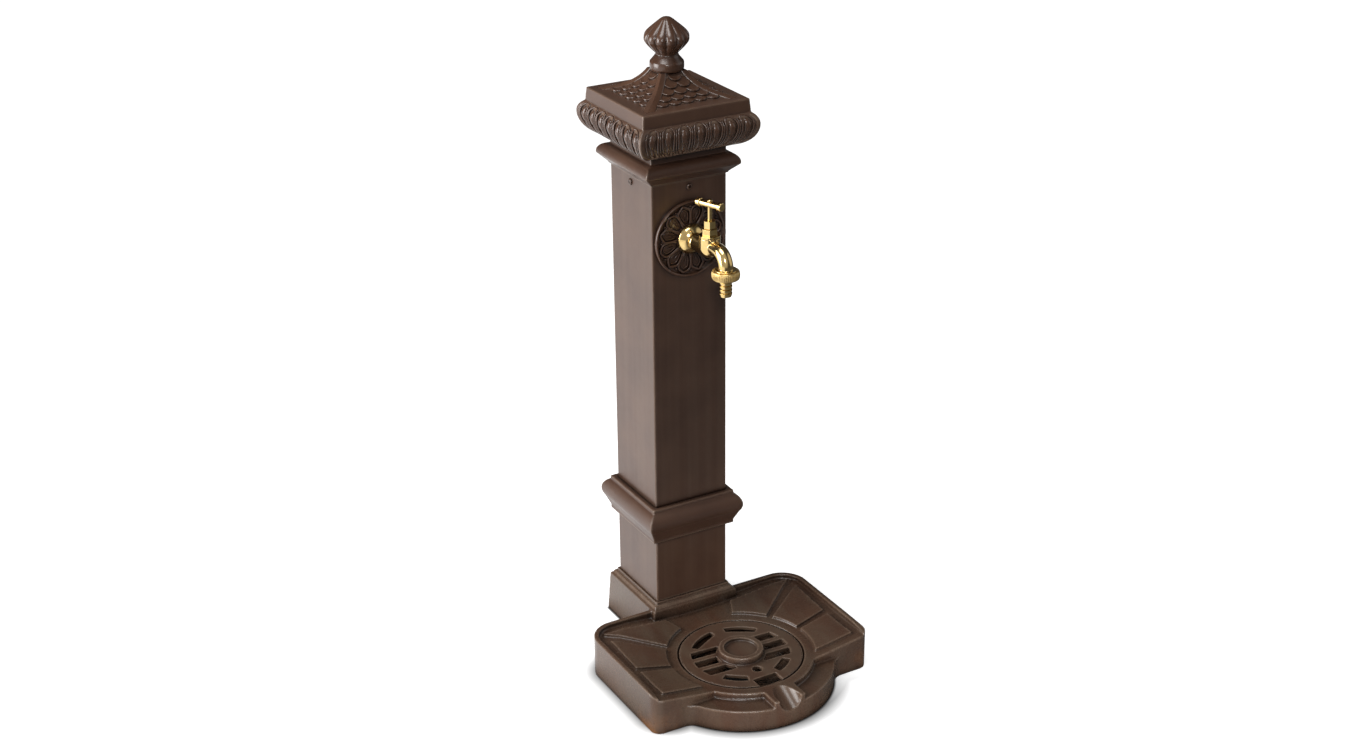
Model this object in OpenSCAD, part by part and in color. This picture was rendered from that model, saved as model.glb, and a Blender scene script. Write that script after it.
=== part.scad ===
// Garden standpipe: a square column with a moulded cap and a brass bib tap,
// standing on a cast plinth and drip basin. Front is -Y, the ground is z = 0.

/* [Column] */
// Outside width of the square tube
column_w = 100; // [90:1:120]
// Wall of the tube
column_wall = 3; // [2:0.5:4]
// Length of the tube
column_len = 549; // [450:1:800]
// Outside corner radius of the tube
column_corner_r = 2; // [1:0.5:3]

/* [Plinth] */
// Height from the ground to the foot of the tube
plinth_h = 63; // [56:1:80]
// How far the plinth stands out beyond the tube at the ground
plinth_foot_out = 12.5; // [11:0.5:20]
// How far it stands out at the top of the sloping sides
plinth_top_out = 9.5; // [7:0.5:10.5]
// Height of the stepped lip above the sloping sides
plinth_lip_h = 9; // [7:0.5:12]
// How far the plinth's deck stands out beyond the tube
deck_out = 2.5; // [1.5:0.25:4]
// Thickness of the deck that carries the column
deck_t = 6; // [4:0.5:10]
// Wall of the castings
cast_wall = 5; // [4:0.5:6]

/* [Basin] */
// Overall width of the basin
basin_w = 302; // [280:1:340]
// Length of the basin's straight sides, front to back
basin_len = 180; // [170:1:200]
// Distance from the column's axis to the rear edge of the basin
basin_back = 46; // [40:1:52]
// Height of the rim
rim_h = 52; // [50:0.5:54]
// Width of the rim's top
rim_w = 6; // [4:0.5:10]
// Radius of the two rear corners
back_corner_r = 34; // [20:1:45]
// Radius of the two front corners
front_corner_r = 13; // [9:1:20]
// Height of the flat ring of floor round the grate
floor_low = 36.5; // [34:0.5:38]
// How far the floor rises from the ring to the rim
floor_rise = 9.5; // [6:0.5:11]
// Thickness of the floor
floor_t = 5; // [4:0.5:6]
// Radius of the flat ring of floor
ring_r = 90; // [86:1:95]
// Radius at which the floor stops rising
floor_outer_r = 150; // [130:1:165]
// Distance from the column's axis to the grate's axis
grate_offset = 170; // [166:1:180]
// Radius of the round front
bulge_r = 115; // [108:1:122]
// Radius of the hollow corners beside the round front
bulge_fillet_r = 22; // [15:1:30]
// Height of the lower shelf on the round front
shelf_h = 28; // [25:0.5:31]
// Radius of the pouring trough
trough_r = 15; // [12:0.5:17]
// Slope of the pouring trough, in degrees
trough_slope = 28; // [22:1:32]
// Half-width of the block that the trough is cut in
trough_block = 21; // [20:0.5:26]

/* [Basin panels] */
// Height of the raised panels above the floor
panel_h = 3.5; // [2:0.1:4]
// Gap between the panels' inner ends and the flat ring
panel_ring_gap = 1; // [0.5:0.5:4]
// Distance from the basin's middle to the panels' outer edges
panel_outer = 134; // [125:1:136]
// Distance behind the grate's axis at which the rear panels end
panel_back = 105; // [95:1:108]
// Distance before the grate's axis at which the front panels end
panel_front = 43; // [38:1:46]

/* [Sump] */
// Width of the ledge that the grate rests on
seat_ledge = 7; // [5:0.5:10]
// Thickness of the sump's floor
sump_floor = 5; // [4:0.5:8]
// Radius of the drain hole
drain_r = 20; // [15:0.5:25]
// Distance between the two anchor holes
anchor_spacing = 90; // [80:1:100]
// Radius of the anchor holes
anchor_r = 4.5; // [3.5:0.5:6]

/* [Grate] */
// Radius of the grate
grate_r = 77; // [74:0.5:80]
// Thickness of the grate
grate_t = 4.5; // [4:0.5:6]
// Gap between the grate and the basin
grate_gap = 0.6; // [0.4:0.1:1]
// Radius of the cup in the middle
cup_r = 27.5; // [24:0.5:29]
// Height of the cup above the grate
cup_h = 9; // [6:0.5:12]
// Radius of the dish in the cup
dish_r = 20.5; // [16:0.5:22]
// Depth of the dish
dish_depth = 4; // [2:0.5:6]
// Width of the parallel slots
slot_w = 13; // [9:0.5:14]
// Distance between the parallel slots
slot_pitch = 20.5; // [18:0.5:22]
// Distance from the middle line at which the parallel slots start
slot_start = 19; // [17:0.5:24]
// Turn of the parallel slots about the grate's axis, in degrees
slot_turn = -3.5; // [-6:0.5:6]
// Radius at which the slots end
slot_outer_r = 61; // [58:0.5:64]
// Distance from the middle to the straight edge of the four chord slots
chord_slot_in = 50; // [48:0.5:53]
// Width of the finger notch at the front
notch_w = 32; // [26:1:34]
// Depth of the finger notch
notch_depth = 19; // [16:1:22]

/* [Lower ring] */
// Height of the ring's lower edge above the ground
lower_ring_z = 150; // [120:1:300]
// Height of the ring
lower_ring_h = 46; // [42:1:52]
// How far the ring stands out beyond the tube
lower_ring_out = 16; // [14:0.5:20]
// Radius of the ring's half round
lower_ring_round = 16; // [14:0.5:18]
// Gap between the ring and the tube
ring_gap = 0.3; // [0.2:0.05:0.6]

/* [Cap] */
// How far the collar under the neck stands out beyond the tube
collar_out = 13; // [10:0.5:16]
// Radius of the collar's round
collar_round = 11.5; // [10:0.5:13]
// Height of the neck above the collar
neck_h = 9; // [6:0.5:14]
// How far the cornice stands out beyond the tube
cornice_out = 29; // [25:0.5:35]
// Radius of the cornice's lower curve
cornice_low_r = 28; // [24:0.5:31]
// Radius of the cornice's upper curve
cornice_top_r = 15; // [13:0.5:17]
// How far the square plate on the cornice stands out beyond the tube, at its lower edge
plate_out = 21; // [19:0.25:23]
// How far the plate stands out at its upper edge
plate_top_out = 19.5; // [17.5:0.25:21]
// Height of the plate
plate_h = 16; // [12:0.5:20]
// How far the roof's foot stands out beyond the tube
roof_out = 12; // [9:0.5:15]
// Height of the roof
roof_h = 28; // [24:0.5:34]
// Width of the roof's flat top
roof_top_w = 30; // [26:0.5:34]
// Length of the skirt that reaches down into the tube
skirt_len = 24; // [18:1:40]
// Wall of the skirt
skirt_wall = 5; // [4:0.5:8]
// Gap between the skirt and the tube
skirt_gap = 0.3; // [0.2:0.05:0.6]

/* [Cap screws] */
// Distance of the screws below the top of the tube
cap_screw_drop = 9; // [7:0.5:12]
// Radius of the screws' shanks
cap_screw_r = 2; // [1.5:0.25:2.5]
// Radius of the screws' heads
cap_screw_head_r = 4; // [3.5:0.25:5]

/* [Finial] */
// Radius of the finial's collar
finial_collar_r = 20.2; // [19:0.1:22]
// Height of the collar's upright side
finial_collar_h = 10.5; // [8:0.5:14]
// Height of the slope from the collar to the neck
finial_slope_h = 7.5; // [5:0.5:10]
// Radius of the neck under the bulb
finial_neck_r = 12.5; // [10:0.5:14]
// Largest radius of the bulb
finial_bulb_r = 27; // [22:0.5:30]
// Height of the bulb
finial_bulb_h = 43.5; // [36:0.5:55]
// Number of lobes on the bulb
finial_lobes = 12; // [8:1:16]
// Radius of the stud in the finial
finial_stud_r = 4; // [3:0.5:5]

/* [Medallion] */
// Radius of the rosette plate
medallion_r = 47; // [44:0.5:48]
// Thickness of the rosette plate at its rim
medallion_t = 5; // [4:0.25:7]
// Number of petals
petals = 12; // [8:1:16]

/* [Tap] */
// Height of the tap's inlet above the ground
tap_z = 540; // [420:1:560]
// Distance from the column's face to the spindle
tap_reach = 47; // [42:0.5:60]
// Distance from the spindle to the spout's mouth
spout_reach = 36; // [32:0.5:45]
// Radius of the inlet tail
tail_r = 10.4; // [9:0.1:11]
// Radius of the waterway
bore_r = 5; // [4:0.25:5.5]
// Radius of the body round the valve
globe_r = 12.5; // [12:0.25:14]
// Radius of the spout
spout_r = 8.75; // [8:0.25:9.5]
// Radius of the spout's bend
spout_bend = 16.5; // [15:0.5:20]
// Radius of the wall flange
flange_r = 19; // [17:0.5:24]
// Depth of the wall flange
flange_depth = 11; // [9:0.5:14]
// Width across the flats of the bonnet
bonnet_flats = 17; // [16:0.5:19]
// Width across the flats of the gland nut
gland_flats = 13; // [12:0.5:14]
// Radius of the spindle's stem
stem_r = 2.75; // [2.5:0.05:3]
// Radius of the spindle's screw
screw_r = 5; // [4.5:0.1:5.5]
// Rise of the spindle from shut to open
valve_lift = 5.6; // [3:0.1:5.6]
// Running clearance round the spindle
spindle_gap = 0.06; // [0.03:0.01:0.09]
// Length of the T-bar
bar_len = 36.5; // [30:0.5:44]
// Radius of the T-bar
bar_r = 4; // [3.25:0.05:4.5]
// Radius of the T-bar's thicker ends
bar_end_r = 5; // [4.75:0.05:6]
// Length of each thicker end
bar_end_len = 6; // [4:0.5:9]
// Direction of the T-bar when shut, in degrees from +X
bar_turn = -69; // [-90:1:90]
// Height of the T-bar above the tap's inlet
bar_rise = 55.6; // [52:0.1:70]

/* [Hose union] */
// Radius of the spout's thread
union_thread_r = 13; // [12:0.1:13.4]
// Radius of the union nut
union_nut_r = 16.5; // [15:0.25:18]
// Height of the union nut
union_nut_h = 11.5; // [10:0.5:14]
// Radius of the hose tail's barbs
hose_r = 7.5; // [6.5:0.1:8]
// Length of the barbed part
hose_len = 18; // [15:0.5:30]
// Number of barbs
barbs = 4; // [3:1:6]

/* [Supply] */
// Radius of the riser pipe
riser_r = 7.5; // [6.5:0.25:8]
// Wall of the riser pipe
riser_wall = 1; // [0.7:0.1:1.5]
// Radius of the inlet's threaded socket
inlet_r = 9.3; // [8.5:0.1:9.5]
// Depth of the inlet's threaded socket
inlet_depth = 16; // [12:0.5:20]

/* [Hidden] */
$fn = 64;
eps = 0.01;
cast_brown = [0.30, 0.22, 0.17];
brass = [0.80, 0.62, 0.28];
copper = [0.72, 0.42, 0.28];
steel = [0.62, 0.62, 0.64];
rubber = [0.12, 0.12, 0.12];

// Fits inside the object, and how far a cutting shape runs past the face that it cuts
seat_gap = 0.05;
slip = 0.05;
hole_gap = 0.3;
tail_gap = 0.4;
overrun = 1;

// Plan: the object's box is centred on the origin
column_half = column_w / 2;
plinth_foot_half = column_half + plinth_foot_out;
plinth_top_half = column_half + plinth_top_out;
deck_half = column_half + deck_out;
lower_ring_half = column_half + lower_ring_out;
collar_half = column_half + collar_out;
cornice_half = column_half + cornice_out;
plate_half = column_half + plate_out;
plate_top_half = column_half + plate_top_out;
roof_half = column_half + roof_out;
back_reach = max(cornice_half, plinth_foot_half, lower_ring_half);
column_y = (grate_offset + bulge_r - back_reach) / 2;
grate_y = column_y - grate_offset;
column_in = column_half - column_wall;
column_top = plinth_h + column_len;
basin_back_y = grate_offset - basin_back;
basin_front_y = basin_back_y - basin_len;
fillet_y = basin_front_y - bulge_fillet_r;
fillet_x = sqrt(pow(bulge_r + bulge_fillet_r, 2) - pow(fillet_y, 2));
seat_r = grate_r + grate_gap;
seat_z = floor_low - grate_t;
sump_r = grate_r - seat_ledge;
sump_outer_r = seat_r + cast_wall;
deck_under = plinth_h - deck_t;

// Cap, from the top of the tube upwards
collar_foot = 1.5;
collar_mid = column_top + collar_foot + collar_round;
neck_top = collar_mid + collar_round + neck_h;
cornice_mid = neck_top + cornice_low_r;
plate_low = cornice_mid + sqrt(pow(cornice_top_r, 2) - pow(plate_half - cornice_half + cornice_top_r, 2));
plate_top = plate_low + plate_h;
roof_run = roof_half - roof_top_w / 2;
roof_curve = (pow(roof_run, 2) + pow(roof_h, 2)) / (2 * roof_h);
roof_top = plate_top + roof_h;
finial_stud_len = 30;
finial_recess_r = 12;
finial_nut_t = 6.5;
finial_nut_flats = 13;
roof_crown_t = 10;
plate_t = 6;
finial_ceiling = roof_top - roof_crown_t;
finial_stud_foot = finial_ceiling - finial_nut_t - 1;

// Tap heights, from the inlet's axis
seat_rise = 7;
spout_rise = 5.5;
body_top = 16;
globe_drop = 8.5;
chamber_r = 9.2;
outlet_r = bore_r + 1;
jumper_r = 7.5;
washer_t = 2.5;
jumper_t = 2;
bonnet_flange_t = 3;
bonnet_hex_h = 8;
bonnet_top = body_top + bonnet_flange_t + bonnet_hex_h;
valve_top = seat_rise + washer_t + jumper_t;
bonnet_step = 0.6;
bonnet_seat_r = chamber_r + bonnet_step;
bonnet_washer_t = 1;
bonnet_low = body_top + bonnet_washer_t;
stop_gap = 0.5;
screw_foot = valve_top + seat_gap + hole_gap;
screw_head = bonnet_top - valve_lift - 2 * stop_gap;
bonnet_room = valve_top + valve_lift + stop_gap;
packing_r = 3.9;
packing_h = 3.5;
packing_low = bonnet_top + stop_gap;
packing_top = packing_low + packing_h;
gland_neck_r = 4.6;
gland_neck_h = 6;
gland_nut_h = 9;
spout_mouth = spout_rise - spout_bend;
union_thread_len = 6.5;
union_face = spout_mouth - union_thread_len;
union_washer_t = 2;
hose_flange_t = 2.5;
union_lip = union_face - union_washer_t - hose_flange_t;
union_lip_t = 2.5;
tail_len = column_wall + 27; // the tail reaches 27 into the tube
back_washer_t = 1.5;
back_nut_t = 7;

// Supply, from the column's axis
elbow_bend = 14;
elbow_wall = 3;
foot_plate_t = 4;
foot_bolt_r = 4;
foot_bolt_at = 34;
inlet_body_r = 13;
inlet_flange_t = 4;
riser_socket = 12;
inlet_drop = 20;
inlet_top = plinth_h + foot_plate_t + inlet_flange_t + riser_socket;
inlet_foot = deck_under - inlet_drop;

// Frames
module at_column() {
    translate([0, column_y, 0]) children();
}

module at_grate() {
    translate([0, grate_y, 0]) children();
}

// Origin on the column's front face, at the tap's inlet
module at_tap() {
    translate([0, column_y - column_w / 2, tap_z]) children();
}

module at_spindle() {
    at_tap() translate([0, -tap_reach, 0]) children();
}

module at_spout() {
    at_tap() translate([0, -tap_reach - spout_reach, 0]) children();
}

// Shared shapes
module both_sides() {
    children();
    mirror([1, 0]) children();
}

// Square moulding: the same upright profile run along X and along Y, mitred at the corners
module square_moulding(reach) {
    intersection() {
        rotate([90, 0, 0]) linear_extrude(height = 2 * reach, center = true) children();
        rotate([90, 0, 90]) linear_extrude(height = 2 * reach, center = true) children();
    }
}

module square_post(half, low, high) {
    translate([-half, -half, low]) cube([2 * half, 2 * half, high - low]);
}

module tube(r_out, r_in, low, high) {
    difference() {
        translate([0, 0, low]) cylinder(h = high - low, r = r_out);
        hole(r_in, low, high);
    }
}

// Round hole from low to high, cut with overrun at both ends
module hole(r, low, high) {
    translate([0, 0, low - overrun]) cylinder(h = high - low + 2 * overrun, r = r);
}

module hexagon(flats, low, high) {
    translate([0, 0, low]) cylinder(h = high - low, r = flats / sqrt(3), $fn = 6);
}

// Cylinder that runs back along +Y from a point in front of the column's face
module along_y(r, front, back) {
    translate([0, -front, 0]) rotate([-90, 0, 0]) cylinder(h = front + back, r = r);
}

// Base casting
module rounded_block(half_w, low_y, high_y, r_low, r_high) {
    translate([-half_w, low_y + r_low]) square([2 * half_w, high_y - low_y - r_low - r_high]);
    translate([-half_w + r_high, high_y - r_high]) square([2 * (half_w - r_high), r_high]);
    translate([-half_w + r_low, low_y]) square([2 * (half_w - r_low), r_low]);
    both_sides() {
        translate([half_w - r_high, high_y - r_high]) circle(r = r_high);
        translate([half_w - r_low, low_y + r_low]) circle(r = r_low);
    }
}

// Outline of the basin about the grate's axis, drawn in by inset on every side
module basin_outline(inset) {
    rounded_block(basin_w / 2 - inset, basin_front_y + inset, basin_back_y - inset,
        front_corner_r - inset, back_corner_r - inset);
    circle(r = bulge_r - inset);
    both_sides() difference() {
        polygon([[0, 0], [fillet_x, basin_front_y + inset], [fillet_x, fillet_y]]);
        translate([fillet_x, fillet_y]) circle(r = bulge_fillet_r + inset);
    }
}

// Everything above the dished floor, or above a surface that lies lift over it
module over_floor(lift) {
    far = 2 * basin_w;
    low = floor_low + lift;
    high = low + floor_rise;
    top = 2 * rim_h;
    rotate_extrude() polygon([[0, low], [ring_r, low], [floor_outer_r, high], [far, high], [far, top], [0, top]]);
}

// The bowl is open to the front: the rim follows the sides and the back only
module bowl_cut() {
    intersection() {
        linear_extrude(height = 2 * rim_h)
            rounded_block(basin_w / 2 - rim_w, -2 * bulge_r, basin_back_y - rim_w, eps, back_corner_r - rim_w);
        over_floor(0);
    }
}

// Front shelf, lower than the ring and cut away on both sides of the trough
module before_front() {
    translate([-basin_w, -2 * bulge_r]) square([2 * basin_w, 2 * bulge_r + basin_front_y]);
}

module shelf_cut() {
    translate([0, 0, floor_low]) linear_extrude(height = rim_h) before_front();
    translate([0, 0, shelf_h]) linear_extrude(height = rim_h) difference() {
        before_front();
        circle(r = ring_r);
        translate([-trough_block, -2 * bulge_r]) square([2 * trough_block, 2 * bulge_r]);
    }
}

module trough_cut() {
    translate([0, -seat_r - cast_wall, floor_low + trough_r / cos(trough_slope)])
        rotate([90 + trough_slope, 0, 0]) cylinder(h = 3 * bulge_r, r = trough_r);
}

// Raised panels on the floor, fanned about the grate's axis
module panels() {
    panel_angles = [[38, 66], [9, 33], [-40, 5]];
    intersection() {
        linear_extrude(height = rim_h) both_sides() for (span = panel_angles) intersection() {
            difference() {
                polygon([[0, 0], basin_w * [cos(span[0]), sin(span[0])], basin_w * [cos(span[1]), sin(span[1])]]);
                circle(r = ring_r + panel_ring_gap);
            }
            translate([0, -panel_front]) square([panel_outer, panel_front + panel_back]);
        }
        difference() {
            over_floor(-floor_t / 2);
            over_floor(panel_h);
        }
    }
}

module plinth_block() {
    lip_z = plinth_h - plinth_lip_h;
    lip_in = 2;
    lip_rise = 1;
    deck_step = 4;
    deck_z = plinth_h - deck_step;
    slope_end = deck_half + deck_out;
    square_moulding(plinth_foot_half) both_sides() polygon([
        [0, 0], [plinth_foot_half, 0], [plinth_top_half, lip_z], [plinth_top_half - lip_in, lip_z + lip_rise],
        [slope_end, deck_z], [deck_half, deck_z], [deck_half, plinth_h], [0, plinth_h]
    ]);
}

// Hollow underside, which leaves the walls, the sump and the trough's block standing
module basin_cavity() {
    difference() {
        union() {
            difference() {
                translate([0, 0, -overrun]) linear_extrude(height = rim_h) intersection() {
                    basin_outline(cast_wall);
                    translate([-basin_w, basin_front_y + cast_wall]) square([2 * basin_w, basin_len]);
                }
                over_floor(-floor_t);
            }
            translate([0, 0, -overrun]) linear_extrude(height = shelf_h - floor_t + overrun)
                basin_outline(cast_wall);
        }
        cylinder(h = rim_h, r = sump_outer_r);
        block = trough_block + cast_wall;
        translate([-block, -2 * bulge_r, -2 * overrun]) cube([2 * block, 2 * bulge_r, rim_h]);
    }
}

module sump_cut() {
    translate([0, 0, seat_z]) cylinder(h = rim_h, r = seat_r);
    translate([0, 0, sump_floor]) cylinder(h = rim_h, r = sump_r);
    hole(drain_r, 0, sump_floor);
    for (side = [-1, 1]) translate([side * anchor_spacing / 2, 0, 0]) hole(anchor_r, 0, sump_floor);
}

module deck_holes() {
    hole(inlet_body_r + slip, deck_under, plinth_h);
    foot_bolt_places() hole(foot_bolt_r + hole_gap, deck_under, plinth_h);
}

module base_casting() {
    cavity_half = plinth_top_half - cast_wall;
    color(cast_brown) difference() {
        union() {
            at_grate() difference() {
                linear_extrude(height = rim_h) basin_outline(0);
                bowl_cut();
                shelf_cut();
            }
            at_grate() panels();
            at_column() plinth_block();
        }
        at_grate() basin_cavity();
        at_grate() sump_cut();
        at_grate() trough_cut();
        at_column() square_post(cavity_half, -overrun, deck_under);
        at_column() deck_holes();
    }
}

// Drain grate
module parallel_slots() {
    cup_margin = 3;
    rotate(slot_turn) for (row = [-1:1]) intersection() {
        translate([-grate_r, row * slot_pitch - slot_w / 2]) square([2 * grate_r, slot_w]);
        difference() {
            circle(r = slot_outer_r);
            circle(r = cup_r + cup_margin);
        }
        both_sides() translate([slot_start, -grate_r]) square([grate_r, 2 * grate_r]);
    }
}

module chord_slots() {
    // Direction and half-spread of each slot, in degrees
    slot_middles = [[60, 20], [118, 21], [-56, 14], [-127, 15]];
    for (slot = slot_middles) rotate(slot[0]) intersection() {
        circle(r = slot_outer_r);
        translate([chord_slot_in, -grate_r]) square([grate_r, 2 * grate_r]);
        polygon([[0, 0], 2 * grate_r * [cos(slot[1]), sin(slot[1])], 2 * grate_r * [cos(slot[1]), -sin(slot[1])]]);
    }
}

module drain_grate() {
    drip_hole_r = 6;
    drip_hole_at = [-1, -40];
    notch_left = -2 - notch_w / 2;
    color(cast_brown) at_grate() translate([0, 0, seat_z]) difference() {
        union() {
            linear_extrude(height = grate_t) difference() {
                circle(r = grate_r);
                parallel_slots();
                chord_slots();
                translate(drip_hole_at) circle(r = drip_hole_r);
                translate([notch_left, -grate_r - overrun]) square([notch_w, notch_depth + overrun]);
            }
            cylinder(h = grate_t + cup_h, r = cup_r);
        }
        translate([0, 0, grate_t + cup_h - dish_depth]) cylinder(h = cup_h, r = dish_r);
    }
}

// Column
module foot_bolt_places() {
    for (x = [-1, 1], y = [-1, 1]) translate([x * foot_bolt_at, y * foot_bolt_at, 0]) children();
}

module foot_plate() {
    color(steel) at_column() difference() {
        square_post(column_in, plinth_h, plinth_h + foot_plate_t);
        hole(inlet_body_r + slip, plinth_h, plinth_h + foot_plate_t);
        foot_bolt_places() hole(foot_bolt_r + slip, plinth_h, plinth_h + foot_plate_t);
    }
}

module foot_bolts() {
    head_t = 5.5;
    head_flats = 13;
    bolt_len = deck_t + foot_plate_t + 3;
    color(steel) at_column() foot_bolt_places() {
        hexagon(head_flats, deck_under - head_t, deck_under);
        translate([0, 0, deck_under - eps]) cylinder(h = bolt_len, r = foot_bolt_r);
    }
}

module column_outline() {
    rounded_block(column_half, -column_half, column_half, column_corner_r, column_corner_r);
}

module on_four_faces() {
    for (turn = [0:90:270]) rotate([0, 0, turn]) children();
}

module column_tube() {
    color(cast_brown) difference() {
        at_column() translate([0, 0, plinth_h]) linear_extrude(height = column_len) difference() {
            column_outline();
            square(2 * column_in, center = true);
        }
        at_tap() along_y(tail_r + tail_gap, overrun, column_wall + overrun);
        at_column() translate([0, 0, column_top - cap_screw_drop]) on_four_faces()
            along_y(cap_screw_r + hole_gap, column_half + overrun, overrun - column_in);
    }
}

module lower_ring() {
    half = lower_ring_half;
    lip_h = 3;
    lip_in = 9;
    foot_in = 11;
    flare_in = 2.5;
    round_mid = lower_ring_h - lip_h - lower_ring_round;
    flare_top = round_mid - lower_ring_round / 2;
    color(cast_brown) at_column() translate([0, 0, lower_ring_z]) difference() {
        square_moulding(half) both_sides() {
            translate([half - lower_ring_round, round_mid]) circle(r = lower_ring_round);
            square([half - lip_in, lower_ring_h]);
            polygon([[0, 0], [half - foot_in, 0], [half - flare_in, flare_top], [0, round_mid]]);
        }
        square_post(column_half + ring_gap, -overrun, lower_ring_h + overrun);
    }
}

// Cap
module cap_profile() {
    half = cornice_half;
    collar_web = 2;
    collar_in = column_half + collar_web;
    collar_low = column_top + collar_foot;
    nose = collar_half + overrun;
    plate_foot = plate_low - overrun;
    both_sides() {
        translate([0, column_top]) square([collar_in, neck_top - column_top - neck_h]);
        intersection() {
            translate([collar_half - collar_round, collar_mid]) circle(r = collar_round);
            polygon([
                [0, collar_low], [collar_in, collar_low], [nose, collar_mid], [nose, neck_top], [0, neck_top]
            ]);
        }
        translate([0, column_top]) square([column_half, cornice_mid - column_top]);
        intersection() {
            translate([half - cornice_low_r, cornice_mid]) circle(r = cornice_low_r);
            translate([0, neck_top - overrun]) square([half, cornice_low_r + overrun]);
        }
        translate([half - cornice_top_r, cornice_mid]) circle(r = cornice_top_r);
        translate([0, cornice_mid - eps]) square([half - cornice_top_r, plate_low - cornice_mid + overrun]);
        polygon([[0, plate_foot], [plate_half, plate_foot], [plate_top_half, plate_top], [0, plate_top]]);
        difference() {
            translate([0, plate_top - eps]) square([roof_half, roof_h + eps]);
            translate([roof_half, plate_top + roof_curve]) circle(r = roof_curve, $fn = 128);
        }
    }
}

module cap_casting() {
    skirt_half = column_in - skirt_gap;
    hollow_half = skirt_half - skirt_wall;
    hollow_top = plate_top - plate_t;
    color(cast_brown) at_column() difference() {
        union() {
            square_moulding(cornice_half) cap_profile();
            square_post(skirt_half, column_top - skirt_len, column_top + overrun);
        }
        square_post(hollow_half, column_top - skirt_len - overrun, hollow_top);
        square_post(cornice_half - cornice_low_r / 2, cornice_mid, hollow_top);
        translate([0, 0, hollow_top - overrun]) cylinder(h = finial_ceiling - hollow_top + overrun, r = finial_recess_r);
        hole(finial_stud_r + slip, finial_ceiling, roof_top);
        translate([0, 0, column_top - cap_screw_drop]) on_four_faces()
            along_y(cap_screw_r + slip, column_half, overrun - hollow_half);
    }
}

module cap_screws() {
    head_t = 2.2;
    shank_in = column_wall + skirt_gap + skirt_wall;
    color(steel) at_column() translate([0, 0, column_top - cap_screw_drop]) on_four_faces() {
        along_y(cap_screw_head_r, column_half + head_t, -column_half);
        along_y(cap_screw_r, column_half + head_t / 2, shank_in - column_half);
    }
}

// Finial: radius of the bulb at a share s of its height, and the drawn-in grooves between the lobes
bulb_belly = 0.46;
groove = 0.1;
function bulb_r(s) = s < bulb_belly
    ? finial_neck_r + (finial_bulb_r - finial_neck_r) * pow(sin(90 * s / bulb_belly), 0.8)
    : finial_bulb_r * pow(1 - pow((s - bulb_belly) / (1 - bulb_belly), 1.4), 0.72);
function lobe(s, turn) = bulb_r(s) * (1 - groove * sin(180 * s) * (1 - abs(sin(finial_lobes * turn / 2))));

module lobed_bulb() {
    sectors = 6 * finial_lobes;
    rings = 14;
    last = 0.985;
    ring_points = [
        for (i = [0:rings], j = [0:sectors - 1])
            let (s = last * i / rings, turn = 360 * j / sectors)
            [lobe(s, turn) * cos(turn), lobe(s, turn) * sin(turn), finial_bulb_h * s]
    ];
    top = len(ring_points);
    points = concat(ring_points, [[0, 0, finial_bulb_h], [0, 0, 0]]);
    sides = [
        for (i = [0:rings - 1], j = [0:sectors - 1])
            let (k = (j + 1) % sectors, low = i * sectors, high = low + sectors)
            each [[low + j, high + j, high + k], [low + j, high + k, low + k]]
    ];
    ends = [
        for (j = [0:sectors - 1])
            let (k = (j + 1) % sectors)
            each [[rings * sectors + j, top, rings * sectors + k], [j, k, top + 1]]
    ];
    polyhedron(points, concat(sides, ends));
}

module finial() {
    edge = 1.5;
    slope_top = finial_collar_h + finial_slope_h;
    stud_top = finial_stud_foot + finial_stud_len - roof_top;
    color(cast_brown) at_column() translate([0, 0, roof_top]) difference() {
        union() {
            rotate_extrude() polygon([
                [0, 0], [finial_collar_r - edge, 0], [finial_collar_r, 2 * edge],
                [finial_collar_r, finial_collar_h - edge], [finial_collar_r - edge, finial_collar_h],
                [finial_neck_r + edge, slope_top - edge],
                [finial_neck_r + edge, slope_top], [0, slope_top]
            ]);
            translate([0, 0, slope_top - eps]) lobed_bulb();
        }
        hole(finial_stud_r + slip, 0, stud_top);
    }
}

module finial_stud() {
    color(steel) at_column() translate([0, 0, finial_stud_foot]) cylinder(h = finial_stud_len, r = finial_stud_r);
}

module finial_nut() {
    color(steel) at_column() difference() {
        hexagon(finial_nut_flats, finial_ceiling - finial_nut_t, finial_ceiling);
        hole(finial_stud_r + slip, finial_ceiling - finial_nut_t, finial_ceiling);
    }
}

// Medallion: petals are the lens where two circles cross
module petal(inner, outer, width) {
    half_len = (outer - inner) / 2;
    r = (half_len * half_len + width * width / 4) / width;
    translate([(inner + outer) / 2, 0]) intersection() {
        translate([0, r - width / 2]) circle(r = r);
        translate([0, width / 2 - r]) circle(r = r);
    }
}

module medallion() {
    relief = 2.5;
    rim = 3;
    rim_proud = 0.7;
    petal_gap = 4;
    petal_root = flange_r - 2;
    petal_tip = medallion_r - rim - petal_gap;
    petal_w = 1.55 * PI * petal_tip / petals;
    loop_in = 6;
    bead_r = 1.8;
    petal_top = medallion_t - rim_proud;
    petal_step = 360 / petals;
    color(cast_brown) at_tap() rotate([90, 0, 0]) difference() {
        union() {
            cylinder(h = medallion_t - relief, r = medallion_r);
            tube(medallion_r, medallion_r - rim, 0, medallion_t);
            linear_extrude(height = petal_top) for (i = [0:petals - 1]) rotate((i + 0.5) * petal_step) difference() {
                petal(petal_root, petal_tip, petal_w);
                petal(petal_root + loop_in, petal_tip - loop_in, petal_w / 2);
            }
            for (i = [0:petals - 1]) rotate([0, 0, i * petal_step]) translate([petal_tip - bead_r / 2, 0, 0])
                cylinder(h = petal_top, r = bead_r);
        }
        hole(tail_r + tail_gap, 0, medallion_t);
    }
}

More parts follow.
